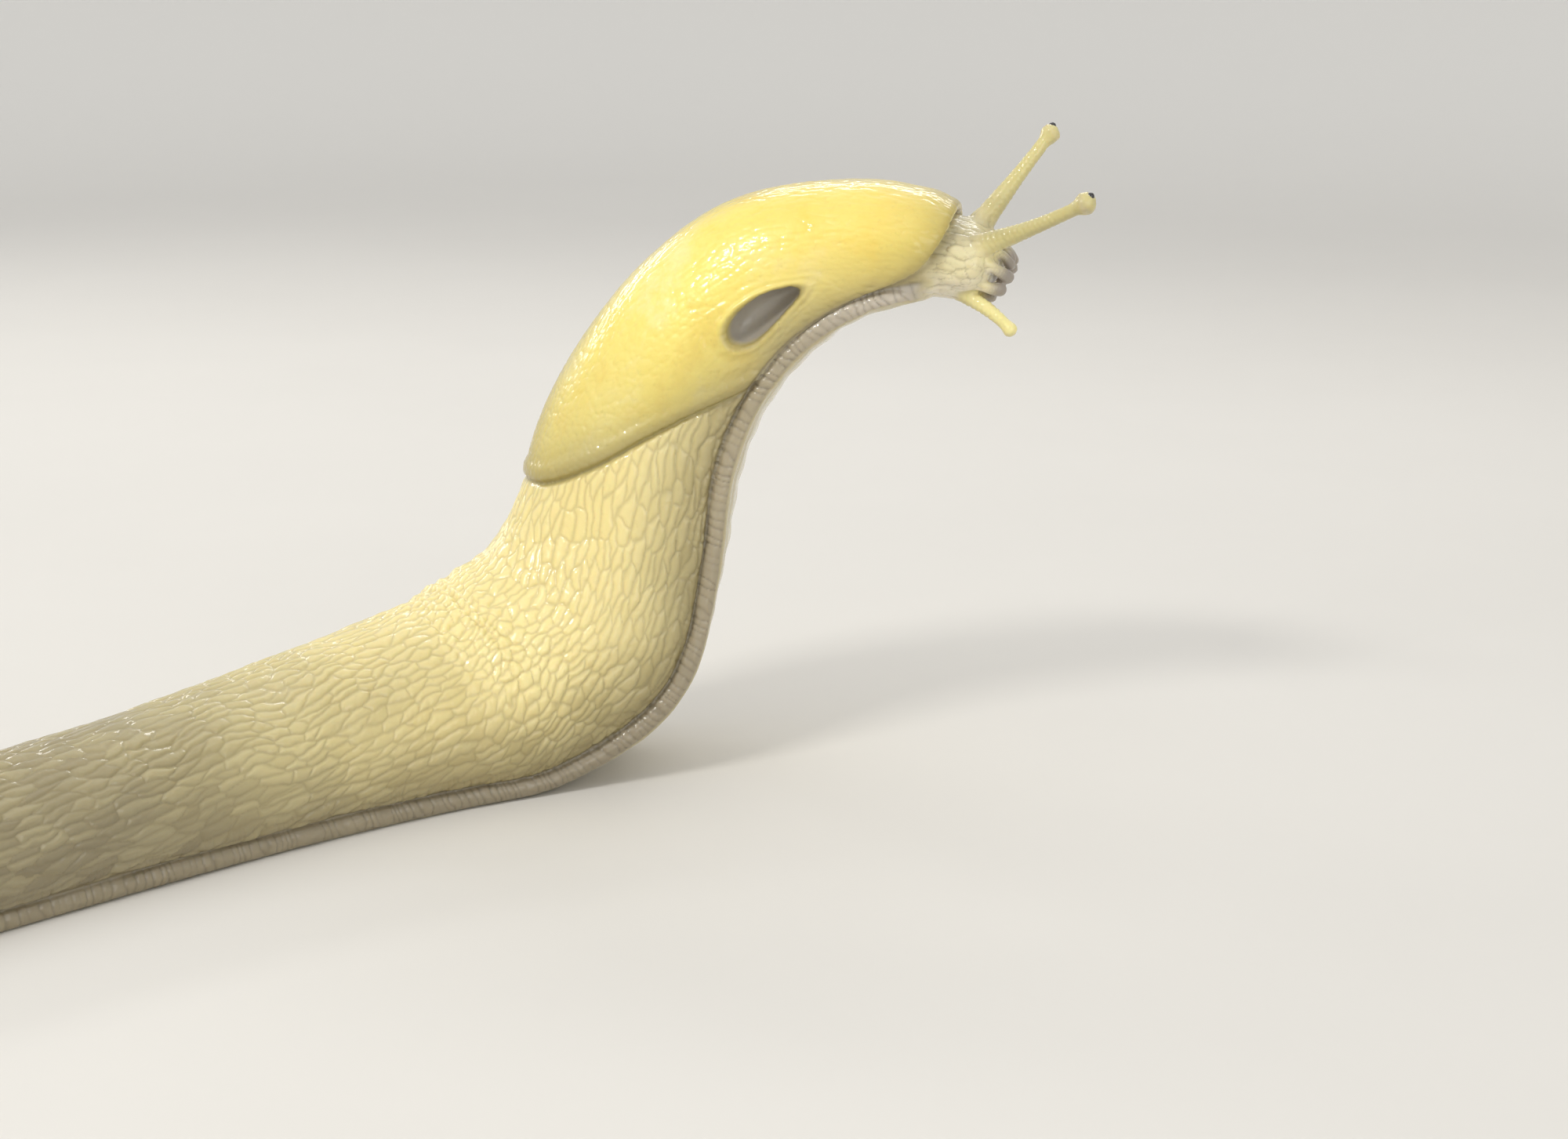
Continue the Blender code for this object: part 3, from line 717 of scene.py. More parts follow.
def cells_3d(seed, place, size, jitter=0.45):
    """The same in space, in cells of about this size: the gap between the nearest
    two seeds in mm, which is 0 on a border, a number, and the squared distance."""
    X = place / size
    low = np.floor(X).astype(np.int64)
    first, second, who = np.full(len(X), 99.0), np.full(len(X), 99.0), np.zeros(len(X))
    for a in (-1, 0, 1):
        for b in (-1, 0, 1):
            for c in (-1, 0, 1):
                cell = low + (a, b, c)
                i, j, k = cell.T
                d = 0
                for axis in range(3):
                    seed_at = cell[:, axis] + 0.5 + jitter * (scatter(seed + axis, i, j, k) * 2 - 1)
                    d = d + (seed_at - X[:, axis]) ** 2
                better = d < first
                second = np.where(better, first, np.minimum(second, d))
                who = np.where(better, scatter(seed + 5, i, j, k), who)
                first = np.where(better, d, first)
    return (np.sqrt(second) - np.sqrt(first)) * float(np.mean(size)), who, first


# ---------------------------------------------------------------- smooth the fused skin
P = polish(P, 5)
s, b, n = locate(P)
girth, lift = girth_of(s, b, n)
side = np.where(b < 0, -1.0, 1.0)
inside = inside_mantle(s, girth)
in_head = (P - H_ORIGIN) @ H_AXES.T
f, l, u = in_head.T
near_head = (f > -3) & (f < 30) & (s > 185)

# The mantle's skin is what stands above the body's outline inside the edge.
tall = height(s)
on_mantle = step_up(inside, -0.9, -0.2) * step_up(lift, -0.75, -0.35) * step_up(s, 150, 152)
on_mantle = np.where((f > 3.4), 0, on_mantle)
hole = on_hole(s, girth, side) + np.where((s > 176) & (s < 193) & (b < 0), 0, 9)
on_mantle = np.maximum(on_mantle, step_up(-hole, -1.3, -1.1))

feeler_at = np.full(count, 9.0)  # distance from the nearest feeler's line, in radii
feeler_u = np.zeros(count)
feeler_turn = np.zeros(count)
feeler_mm = np.zeros(count)
feeler_which = np.full(count, -1)
rough = np.flatnonzero(near_head & (f > 1))
for which, name in enumerate(FEELERS):
    line = feeler_line(name)
    length = feeler_length(line)
    steps = np.linspace(0, 1.1, 89)
    spine = line(steps)
    apart = np.linalg.norm(P[rough][:, None] - spine[None], axis=2)
    k = np.argmin(apart, 1)
    t = steps[k]
    size = feeler_size(name, np.minimum(t, 0.9), length)
    off = apart[np.arange(len(rough)), k] / np.maximum(size, 0.3)
    closer = off < feeler_at[rough]
    take = rough[closer]
    feeler_at[take] = off[closer]
    feeler_u[take] = t[closer]
    feeler_mm[take] = t[closer] * length
    feeler_which[take] = which
    ahead = line(t[closer] + 0.005) - line(t[closer] - 0.005)
    ahead /= np.linalg.norm(ahead, axis=1, keepdims=True)
    sd, upw = square_to(ahead)
    off_line = P[take] - spine[k[closer]]
    feeler_turn[take] = np.arctan2((off_line * upw).sum(1), (off_line * sd).sum(1))
on_feeler = step_up(-feeler_at, -1.75, -1.25) * step_up(feeler_u, 0.1, 0.3)

mouth = in_head - np.array(MOUTH_AT)
mouth_in, mouth_a, mouth_u = mouth @ MOUTH_AXIS, mouth @ MOUTH_ACROSS, mouth @ MOUTH_UPRIGHT
mouth_r = np.hypot(mouth_a, mouth_u)
lobe_near, lobe_along = np.full(count, 9.0), np.zeros(count)
lip_sel = np.flatnonzero(near_head & (f > 3) & (mouth_r < 6.5))
for _k, (_, _, _, thick) in enumerate(LOBES):
    spine = lip_rings(_k)[2:].mean(1)
    apart = np.linalg.norm(P[lip_sel][:, None] - spine[None], axis=2) / thick
    k, apart = np.argmin(apart, 1) / (len(spine) - 1), np.min(apart, 1)
    closer = apart < lobe_near[lip_sel]
    lobe_near[lip_sel[closer]], lobe_along[lip_sel[closer]] = apart[closer], k[closer]
on_lips = step_up(-lobe_near, -1.6, -1.15) * step_up(lobe_along, 0.05, 0.45)
on_lips = np.maximum(on_lips, step_up(mouth_in, 0.0, 0.7) * step_up(-mouth_r, -2.5, -1.9) * near_head) * (1 - on_feeler)

# Melt the joins: neck into head, feelers into the head, lips into the muzzle.
rim_low = np.where(inside > -0.6, mantle_proud(s, girth) - 2.3 * RIM - 0.9, 9.0)
join = bump_at(f, 0.4, 2.0) * step_up(f, -4, -2) * (s > 193) * step_up(-(lift - rim_low), 0.0, 0.35)
root = step_up(-feeler_at, -2.6, -1.5) * (1 - step_up(feeler_u, 0.12, 0.42)) * near_head
lip_base = bump_at(lobe_near, 1.5, 0.35) * near_head
P = relax(P, 30, np.clip(np.maximum.reduce([join, root, 0.35 * lip_base]), 0, 1))
P = relax(P, 2)

# ---------------------------------------------------------------- carve the skin
N = normals(P)
arc = arc_length(s, girth)
x, y = s, side * arc
sole_half = SOLE_SPREAD * half_width(s)
thick = foot_thickness(s)
on_head = step_up(f, -1.5, 1.0) * step_up(s, 196, 198.5) * (1 - on_mantle)
fringe = step_up(-(n - thick), -0.25, 0.15) * (1 - on_head) * (s < 201)
on_sole = fringe * step_up(-N @ np.array([0, 0, 1.0]) * (s < LIFT_OFF) - (N * from_table(UP, s)).sum(1) * (s >= LIFT_OFF), 0.75, 0.95)
fringe = fringe * (1 - on_sole)
on_body = np.clip(1 - on_mantle - on_head - fringe - on_sole, 0, 1)

# Long tubercles: low rounded lozenges in rows that slope back down the flank.
wob_x = 1.2 * soft_noise(11, s / 9, y / 7) + 0.5 * soft_noise(12, s / 3.2, y / 2.6) + 0.26 * soft_noise(16, s / 1.3, y / 1.0)
wob_y = 0.8 * soft_noise(13, s / 9, y / 7) + 0.3 * soft_noise(14, s / 3.2, y / 2.6) + 0.15 * soft_noise(17, s / 1.2, y / 0.9)
slope = 0.55 * np.clip(arc / 18, 0, 1.2)
lx, ly = x + slope * arc + wob_x, y + wob_y
shrink = np.clip(0.62 + 0.38 * (half_width(s) / 11.0), 0.5, 1.0)
border, who, middle = cells_2d(21, lx, ly / shrink, 3.7, 1.08, 0.48)
border = border * shrink
fine, fine_who, fine_middle = cells_2d(31, lx, ly, 1.1, 0.56, 0.48)
dome = 0.5 * (1 - np.exp(-((border / 0.3) ** 1.3))) + 0.5 * np.sqrt(np.clip(1 - middle / 0.5, 0, 1))
groove = np.exp(-((border / 0.17) ** 2))
tubercles = 0.3 * dome - 0.03 * groove + 0.07 * (who - 0.5) * step_up(border, 0.0, 0.5)
tubercles += 0.055 * np.sqrt(np.clip(1 - fine_middle / 0.55, 0, 1)) - 0.03
tubercles *= 0.7 + 0.4 * soft_noise(15, s / 9, y / 7)
tubercles *= step_up(s, 1, 14) * 0.35 + 0.65
near_edge = step_up(np.abs(inside), 0.25, 1.3)

# Soft folds across the back where it bends up.
folds = 0.13 * bump_at(s, 128, 15) * step_up(girth, -5, 60) * np.sin(2 * pi * (s + 2.2 * soft_noise(41, s / 6, y / 9)) / 4.6)
swell = 0.2 * soft_noise(42, s / 14, y / 11) + 0.1 * soft_noise(43, s / 5.5, y / 4.5)

# Mantle: a fine grain, a few long soft waves, and a rolled rim.
grain, grain_who, grain_middle = cells_2d(51, x + 0.5 * soft_noise(52, s / 2.1, y / 2.1), y, 0.8, 0.66, 0.48)
mantle_carve = 0.07 * np.clip(1 - grain_middle / 0.5, 0, 1) ** 0.7 + 0.03 * (grain_who - 0.5)
creases = np.abs(soft_noise(56, (s + 1.2 * soft_noise(57, s / 5, y / 4)) / 4.5, (y - 0.35 * s) / 1.5))
mantle_carve -= 0.035 * np.exp(-((creases / 0.13) ** 2)) * step_up(-girth, -70, 10)
mantle_carve += 0.15 * soft_noise(53, s / 10, y / 7) + 0.045 * soft_noise(54, s / 4.2, y / 3.1)
mantle_carve += 0.1 * np.exp(-((inside - 1.4) / 0.7) ** 2) - 0.08 * np.exp(-((inside - 2.9) / 0.8) ** 2)
mantle_carve += 0.3 * np.exp(-(((hole - 1.17) / 0.14) ** 2))
mantle_carve += 0.06 * np.sin(9 * hole + 2 * soft_noise(55, s / 2, y / 2)) * np.exp(-(((hole - 1.6) / 0.35) ** 2))
mantle_carve = mantle_carve * np.where(hole < 1, 0.3 + 0.7 * step_up(hole, 0.8, 1.0), 1)

# Fringe: pleats down from the groove, and the groove itself.
pleat_at = (s + 1.1 * soft_noise(61, s / 2.9, side * 3.5) + 0.3 * soft_noise(63, s / 1.1, n / 1.5)) / 0.98
pleat = np.abs(np.mod(pleat_at, 1) - 0.5) * 2
pleat_deep = 0.15 + 0.85 * scatter(64, np.floor(pleat_at + 0.5).astype(np.int64), side.astype(np.int64))
fringe_carve = -0.12 * pleat_deep * np.exp(-((pleat / 0.3) ** 2)) + 0.04 * soft_noise(62, s / 0.8, n / 0.5)
fringe_carve += 0.16 * soft_noise(65, s / 3.4, side * 2.5) * step_up(n, 0.2, 1.0)
groove_line = bump_at(n, thick + 0.05, 0.28) * (1 - on_head) * (np.abs(b) > 0.6 * sole_half)
cross = -0.09 * pleat_deep * np.exp(-((pleat / 0.3) ** 2)) * bump_at(n, thick + 0.7, 1.1)

# Sole: low waves across it and a fine grain.
on_half = np.clip(np.abs(b) / np.maximum(sole_half, 0.5), 0, 1)
raised = step_up(s, 117, 132)
sole_carve = 0.02 * soft_noise(72, s / 0.9, b / 0.5)
sole_carve += raised * (1.0 * (1 - on_half**2.2) * (1 - 0.6 * step_up(s, 193, 199)) - 0.16 * bump_at(on_half, 0.86, 0.05))
sole_carve += (0.3 + 0.7 * raised) * (0.2 * soft_noise(73, s / 8, b / 6) + 0.05 * soft_noise(74, s / 5, b / 1.1))
wave = np.sin(2 * pi * (s + 0.9 * soft_noise(75, s / 6, b / 4) + 0.05 * b * np.abs(b) / 4) / 4.4) * (1 - on_half**3)
sole_carve += 0.09 * wave
wrinkle = np.clip(np.abs(soft_noise(76, (s + 0.5 * soft_noise(78, s / 3, b / 3)) / 0.75, b / 4.5)) / 0.16, 0, 1)
sole_carve -= 0.06 * (1 - wrinkle) * (0.4 + 0.6 * soft_noise(77, s / 4, b / 4) ** 2) * step_up(-on_half, -0.97, -0.75)

# Head and feelers: small warts drawn out forward, with wrinkles at the roots.
head_sel = np.flatnonzero((on_head > 0) | (feeler_at < 2.5))
warts = np.zeros(count)
wavy = in_head[head_sel] + 0.22 * np.stack([soft_noise(82 + k, *(in_head[head_sel].T / 1.3)) for k in range(3)], 1)
gap, wart_who, wart_middle = cells_3d(81, wavy * (0.6, 1, 1), np.array([0.86, 0.86, 0.86]))
warts[head_sel] = 0.17 * np.clip(1 - wart_middle / 0.6, 0, 1) ** 0.7 + 0.07 * (wart_who - 0.5) - 0.09
gap, wart_who, wart_middle = cells_3d(91, in_head[head_sel], np.array([0.46, 0.46, 0.46]))
tiny = np.zeros(count)
tiny[head_sel] = 0.045 * np.sqrt(np.clip(1 - wart_middle / 0.55, 0, 1)) - 0.025
rings = 0.03 * np.sin(2 * pi * (feeler_mm + 0.12 * np.sin(3 * feeler_turn)) / 0.62) * step_up(feeler_u, 0.02, 0.2) * step_up(-feeler_u, -0.86, -0.7)
head_carve = warts * (1 - on_feeler) + (tiny + rings) * on_feeler
head_carve = head_carve * (1 - 0.75 * on_lips)
neck_lines = -0.1 * np.exp(-((np.abs(np.mod(np.degrees(np.arctan2(u - 4.0, l)) / 17 + 0.25 * soft_noise(95, f / 2, l / 2), 1) - 0.5) / 0.13) ** 2))
head_carve += neck_lines * step_up(f, -3, 0) * step_up(-f, -5.2, -3.2) * (1 - on_feeler) * (1 - on_lips)

carve = (
    on_body * near_edge * (tubercles + 0.0)
    + on_body * (folds + swell) * near_edge
    + on_mantle * mantle_carve * step_up(s, 150, 158)
    + fringe * fringe_carve
    + on_body * cross * (1 - on_mantle)
    - 0.14 * groove_line
    + on_sole * sole_carve
    + np.maximum(on_head, on_feeler) * head_carve
)
P = P + N * carve[:, None]

for name in ("upper_tentacle_right", "upper_tentacle_left"):
    centre, look = eye_place(name)
    away = P - centre
    d = np.linalg.norm(away, axis=1)
    ahead = away @ look
    P = P + look * (0.13 * bump_at(d, EYE_RADIUS + 0.16, 0.14) * (ahead > -0.3))[:, None]

# The mouth: an upright slit between the lips.
slit = np.hypot((mouth_a + 0.12 * np.sin(2.2 * mouth_u)) / 0.55, (mouth_u + 0.1) / 1.4)
dent = 1.6 * np.clip(1 - slit**2, 0, 1) ** 1.2 * step_up(mouth_in, -0.2, 0.3) * near_head * (1 - on_feeler)
P = P - (MOUTH_AXIS @ H_AXES) * dent[:, None]
P[:, 2] = np.maximum(P[:, 2], 0.0)

# ---------------------------------------------------------------- write the skin
skin_mesh.vertices.foreach_set("co", (P * MM).astype(np.float32).ravel())
skin_mesh.update()
skin_mesh.shade_smooth()


def write(name, values):
    layer = skin_mesh.attributes.new(name, "FLOAT", "POINT")
    layer.data.foreach_set("value", np.asarray(values, np.float32))


# Painted shade in the tubercles' grooves, partly also their own greyer tone.
cellshade = np.clip(groove * on_body * near_edge, 0, 1)
write("mantle", on_mantle)
write("fringe", fringe)
write("sole", on_sole)
write("head", on_head * (1 - on_feeler))
write("feeler", on_feeler)
# Painted shade at the feelers' roots.
write("stalk_root_shade", on_feeler * step_up(-feeler_u, -0.6, -0.1))
write("lips", np.clip(on_lips + 0.6 * (dent > 0.05), 0, 1))
# Painted shade in the mouth's slit.
write("slit_shade", np.clip(dent / 0.9, 0, 1))
write("hole", step_up(-hole, -1.04, -0.88))
write("groove", cellshade)
write("tone", who * on_body)
write("brink", step_up(on_half, 0.35, 0.85))
write("wave", 0.5 - 0.5 * wave)
# Painted shade in the sole's wrinkles.
write("wrinkle", 1 - wrinkle)
# Painted shade: low on the flank where the body bends up.
write("bend", bump_at(s, 136, 42) * step_up(-girth + 9 * soft_noise(47, s / 7, y / 6), -15, 39) ** 1.2)
# Painted shade on the fringe where the body bends up.
write("turn", bump_at(s, 122, 32))
write("deep", bump_at(s + 1.5 * soft_noise(48, s / 5, y / 5), 192.5, 5.0) * bump_at(girth, 44, 28))
# Painted shade: the lower flank of body and mantle, darker in colour.
write("low", 0.75 * step_up(-girth, -20, 40) + 0.25 * step_up(-girth, 12, 44))
write("pleat", pleat_deep * np.exp(-((pleat / 0.3) ** 2)))
# Painted shade over the hind part, partly also the tail's own darker olive.
write("back", step_up(-(s + 8 * soft_noise(44, s / 18, y / 12) + 3 * soft_noise(45, s / 6, y / 5)), -132, -58) ** 0.9)
# Painted shade along the mantle's ridge, partly also a darker line down the back.
write("ridge", step_up(girth, 55, 88))
# Painted shade on the mantle's hind part.
write("hind_shade", step_up(-s, -184, -160))
# Painted shade on downward-facing skin: the head's underside greyer, the feelers' undersides darker.
write("under", step_up(-N[:, 2], 0.05, 0.75))
write("front", step_up(s, 178, 196))
write("along", s / 202)
# Painted shade in a narrow band at the mantle's rim.
write("edge", np.exp(-np.maximum(inside, 0) / 2.1) * on_mantle)
# Painted shade round the breathing hole's lip.
write("ring", bump_at(hole, 1.04, 0.1))
# Painted shade in a broad band inside the mantle's rim.
write("rim_band_shade", on_mantle * np.exp(-np.maximum(inside + 0.8 * soft_noise(46, s / 5, y / 5), 0) / 5.5) * (1 - 0.7 * step_up(s, 185, 197)))
# Painted shade in the hollows between the head's warts.
write("hollow_shade", np.clip((neighbours(neighbours(neighbours(head_carve))) - head_carve) / 0.05, 0, 1) * np.maximum(on_head, on_feeler))
above_foot = np.clip(step_up(n / thick, 0.5, 0.95) + on_head, 0, 1) * (1 - on_sole)
# Painted shade in the crease under the mantle's rim and in the groove above the fringe.
write("crease_shade", np.clip(bump_at(inside, -0.35, 0.55) * (1 - on_mantle) * (s > 150) * (s < 203) * above_foot + groove_line, 0, 1))

# A flat map of the skin, in charts that follow the body's own lines: flanks and back,
# foot, mantle, the hidden places below the mantle's rim, head and feelers.
def of_faces(values):
    return values[QUADS].mean(1)


_, _, _ob, _on = outline(s, girth)
outward = (side * _ob)[:, None] * from_table(LEFT, s) + _on[:, None] * from_table(UP, s)
facing = of_faces((normals(P) * outward).sum(1))
chart = np.minimum(of_faces(s) // 50.6, 3).astype(int)
foot_faces = of_faces(fringe + on_sole) > 0.5
chart[foot_faces] += 4
chart[(of_faces(on_mantle) > 0.5) & ~foot_faces] = 8
chart[(facing < 0.02) & (of_faces(s) > 150) & ~foot_faces & (of_faces(hole) > 1.2)] = 9
head_faces = of_faces(on_head) > 0.5
chart[head_faces] = 10
feeler_faces = (of_faces(on_feeler) > 0.5) & (feeler_which[QUADS[:, 0]] >= 0)
chart[feeler_faces] = 11 + feeler_which[QUADS[feeler_faces, 0]]

# Flanks, back and mantle: along the body, and round it from the ridge.
past_tip = np.minimum((P - MIDDLE[0]) @ _along[0], 0) * (s < 0.3)
along = s + past_tip + 0.8 * np.hypot(b, n - 1.0) * (1 - step_up(s, 0, 4))
around = side * arc
wall = np.linspace(0, 1, 200)
wall_deep = 3.3 * (1 - wall**3) ** 0.6
wall_long = np.concatenate([[0], np.cumsum(np.hypot(np.diff(wall) * 3.0, np.diff(wall_deep)))])
spread = np.where(hole < 1, np.interp(hole, wall, wall_long / wall_long[-1]) / np.maximum(hole, 0.02), 1)
hole_around = -float(arc_length(np.array([HOLE_AT[0]]), np.array([HOLE_AT[1]]))[0])
body_map = np.stack([HOLE_AT[0] + (along - HOLE_AT[0]) * spread, hole_around + (around - hole_around) * spread], 1)
# Foot: unrolled from the middle of the sole up the fringe and into the groove.
unrolled = np.abs(b) + n + 2 * np.maximum(sole_half - np.abs(b), 0) * step_up(n, 0.75 * thick, 0.95 * thick)
foot_map = np.stack([along, side * unrolled], 1)
# Head: a disc round the mouth.
_from = in_head - np.array([3.0, 0, 4.2])
_right, _tall = _from @ MOUTH_ACROSS, _from @ MOUTH_UPRIGHT
_angle = np.arctan2(np.hypot(_right, _tall), _from @ MOUTH_AXIS)
head_map = 7.0 * (_angle / np.maximum(np.hypot(_right, _tall), 1e-6))[:, None] * np.stack([_right, _tall], 1)

places = np.zeros((len(QUADS), 4, 2))
for own, field in ((chart < 4, body_map), ((chart >= 4) & (chart < 8), foot_map), ((chart == 8) | (chart == 9), body_map), (chart == 10, head_map)):
    places[own] = field[QUADS[own]]
for which, name in enumerate(FEELERS):  # feelers: along, and round from underneath
    own = chart == 11 + which
    line = feeler_line(name)
    length, end = feeler_length(line), line(1.0)
    forward = end - line(0.99)
    forward /= np.linalg.norm(forward)
    corner = QUADS[own]
    beyond = np.maximum((P - end) @ forward, 0)[corner]
    size = FEELERS[name][3]
    radius = feeler_at[corner] * feeler_size(name, np.minimum(feeler_u[corner], 0.9), length)
    turn = feeler_turn[corner]
    turn = np.where(turn - turn[:, :1] > pi, turn - 2 * pi, np.where(turn - turn[:, :1] < -pi, turn + 2 * pi, turn))
    places[own] = 1.6 * np.stack([np.minimum(feeler_mm[corner], length) + beyond - np.minimum(radius, size[3]), 1.0 * turn], -1)

# The charts side by side on shelves, in the smallest square that holds them.
low_corner = np.array([places[chart == k].reshape(-1, 2).min(0) for k in range(15)])
wide_high = np.array([places[chart == k].reshape(-1, 2).max(0) for k in range(15)]) - low_corner
shelf_order = sorted(range(15), key=lambda k: -wide_high[k][1])
square, spots = 60.0, {}
while len(spots) < 15:
    square *= 1.01
    x_at = y_at = shelf = 1.0
    spots = {}
    for k in shelf_order:
        if x_at + wide_high[k][0] + 1 > square:
            x_at, y_at, shelf = 1.0, y_at + shelf, 0.0
        if y_at + wide_high[k][1] + 1 > square or x_at + wide_high[k][0] + 1 > square:
            break
        spots[k] = (x_at, y_at)
        x_at, shelf = x_at + wide_high[k][0] + 1, max(shelf, wide_high[k][1] + 1)
offsets = np.array([spots[k] for k in range(15)]) - low_corner
places = (places + offsets[chart][:, None]) / square
layer = skin_mesh.uv_layers.new(name="OFBake")
layer.uv.foreach_set("vector", places.astype(np.float32).ravel())

skin = bpy.data.objects.new("slug_skin", skin_mesh)
bpy.context.scene.collection.objects.link(skin)
SKIN_NODES = [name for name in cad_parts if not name.startswith("eye")]
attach(skin, "root")
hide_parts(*SKIN_NODES)


# ---------------------------------------------------------------- materials
def linear(r, g, b):
    """sRGB 0-255 to linear."""
    return tuple(c / 255 / 12.92 if c / 255 <= 0.04045 else ((c / 255 + 0.055) / 1.055) ** 2.4 for c in (r, g, b)) + (1.0,)


class Nodes:
    """Shorthand for building a node tree."""

    def __init__(self, material):
        material.use_nodes = True
        self.tree = material.node_tree
        self.tree.nodes.clear()

    def add(self, kind, **settings):
        node = self.tree.nodes.new(kind)
        inputs = settings.pop("inputs", {})
        for key, value in settings.items():
            setattr(node, key, value)
        for key, value in inputs.items():
            if isinstance(value, bpy.types.NodeSocket):
                self.tree.links.new(value, node.inputs[key])
            else:
                node.inputs[key].default_value = value
        return node

    def attribute(self, name):
        return self.add("ShaderNodeAttribute", attribute_name=name).outputs["Fac"]

    def math(self, operation, a, b=0.0, clamp=False):
        return self.add("ShaderNodeMath", operation=operation, use_clamp=clamp, inputs={0: a, 1: b}).outputs[0]

    def mix(self, factor, a, b, blend="MIX"):
        node = self.add("ShaderNodeMix", data_type="RGBA", blend_type=blend)
        for key, value in ((0, factor), (6, a), (7, b)):
            if isinstance(value, bpy.types.NodeSocket):
                self.tree.links.new(value, node.inputs[key])
            else:
                node.inputs[key].default_value = value
        return node.outputs[2]

    def noise(self, scale, detail=3.0, roughness=0.55, vector=None, distortion=0.0):
        inputs = {"Scale": scale, "Detail": detail, "Roughness": roughness, "Distortion": distortion}
        if vector is not None:
            inputs["Vector"] = vector
        return self.add("ShaderNodeTexNoise", inputs=inputs).outputs["Fac"]

    def ramp(self, value, low, high, to_low=0.0, to_high=1.0):
        return self.add(
            "ShaderNodeMapRange", interpolation_type="SMOOTHSTEP",
            inputs={"Value": value, "From Min": low, "From Max": high, "To Min": to_low, "To Max": to_high},
        ).outputs[0]


def skin_material():
    material = bpy.data.materials.new("slug_skin")
    t = Nodes(material)
    where = t.add("ShaderNodeTexCoord").outputs["Object"]
    broad = t.noise(45, 3, 0.55, where)
    cloudy = t.noise(95, 5, 0.62, where, 0.4)
    patch = t.noise(160, 4, 0.6, where)
    speck = t.noise(1400, 3, 0.6, where)
    mantle, fringe, sole, head = (t.attribute(k) for k in ("mantle", "fringe", "sole", "head"))
    feeler, lips, hole, groove = (t.attribute(k) for k in ("feeler", "lips", "hole", "groove"))
    tone, low, back, edge, crease_shade = (t.attribute(k) for k in ("tone", "low", "back", "edge", "crease_shade"))

    hind_shade, under, front, ring = (t.attribute(k) for k in ("hind_shade", "under", "front", "ring"))

    # Body: pale yellow on the back, with painted shade: olive grey down the lower flank, darker olive low where it
    # bends up, and olive grey over the hind part, which is partly also the tail's own darker tone.
    body = t.mix(t.ramp(broad, 0.3, 0.7), linear(252, 236, 168), linear(242, 223, 152))
    body = t.mix(t.ramp(patch, 0.55, 0.8, 0, 0.3), body, linear(214, 196, 128))
    # Painted shade: olive grey down the lower flank.
    body = t.mix(t.math("MULTIPLY", low, 0.88), body, linear(158, 143, 100))
    # Painted shade: darker olive low on the flank where the body bends up.
    body = t.mix(t.math("MULTIPLY", t.attribute("bend"), 0.62), body, linear(120, 108, 66))
    # Painted shade in the hind part, partly also its own darker olive.
    body = t.mix(t.math("MULTIPLY", back, 0.9), body, t.mix(t.ramp(broad, 0.35, 0.65), linear(113, 103, 82), linear(142, 129, 94)))
    body = t.mix(t.math("MULTIPLY", tone, 0.14), body, linear(252, 240, 186))
    # Painted shade in the tubercles' grooves, partly also their own greyer tone.
    body = t.mix(t.math("MULTIPLY", groove, 0.24), body, linear(128, 112, 68))
    # Mantle: brighter and cleaner, with painted shade: olive towards its rim, down its lower flank, along its ridge and
    # in its hind part, and darker round the breathing hole's lip.
    cloak = t.mix(t.ramp(broad, 0.35, 0.7), linear(254, 234, 124), linear(254, 238, 146))
    cloak = t.mix(t.ramp(patch, 0.5, 0.75, 0, 0.45), cloak, linear(252, 214, 80))
    cloak = t.mix(t.ramp(cloudy, 0.5, 0.66, 0, 0.6), cloak, linear(255, 243, 176))
    cloak = t.mix(t.ramp(cloudy, 0.47, 0.33, 0, 0.42), cloak, linear(238, 206, 92))
    cloak = t.mix(t.math("MULTIPLY", front, 0.3), cloak, linear(255, 222, 84))
    cloak = t.mix(t.math("MULTIPLY", t.attribute("deep"), t.ramp(cloudy, 0.35, 0.6, 0.15, 0.55)), cloak, linear(255, 206, 44))
    # Painted shade on the mantle's hind part.
    cloak = t.mix(t.math("MULTIPLY", hind_shade, 0.45), cloak, linear(206, 188, 118))
    # Painted shade in a broad band inside the mantle's rim.
    cloak = t.mix(t.math("MULTIPLY", t.attribute("rim_band_shade"), 0.57), cloak, linear(168, 154, 98))
    # Painted shade: olive down the mantle's lower flank.
    cloak = t.mix(t.math("MULTIPLY", low, 0.76), cloak, linear(166, 152, 104))
    # Painted shade along the mantle's ridge, partly also a darker line down the back.
    cloak = t.mix(t.math("MULTIPLY", t.attribute("ridge"), 0.52), cloak, linear(182, 166, 92))
    # Painted shade in a narrow band at the mantle's rim.
    cloak = t.mix(t.math("MULTIPLY", edge, 0.68), cloak, linear(154, 140, 88))
    # Painted shade round the breathing hole's lip.
    cloak = t.mix(t.math("MULTIPLY", ring, 0.6), cloak, linear(140, 126, 80))
    colour = t.mix(mantle, body, cloak)
    band = t.mix(patch, linear(160, 148, 122), linear(182, 170, 142))
    band = t.mix(front, band, linear(192, 182, 165))
    # Painted shade on the fringe where the body bends up.
    band = t.mix(t.math("MULTIPLY", t.attribute("turn"), 0.5), band, linear(122, 112, 94))
    band = t.mix(t.math("MULTIPLY", t.attribute("pleat"), 0.45), band, linear(106, 96, 76))
    # Painted shade on the fringe in the hind part.
    colour = t.mix(fringe, colour, t.mix(t.math("MULTIPLY", back, 0.6), band, linear(128, 117, 92)))
    under_foot = t.mix(patch, linear(214, 203, 166), linear(230, 220, 188))
    under_foot = t.mix(t.math("MULTIPLY", t.attribute("brink"), 0.5), under_foot, linear(176, 165, 132))
    under_foot = t.mix(t.math("MULTIPLY", t.attribute("wave"), 0.3), under_foot, linear(186, 176, 146))
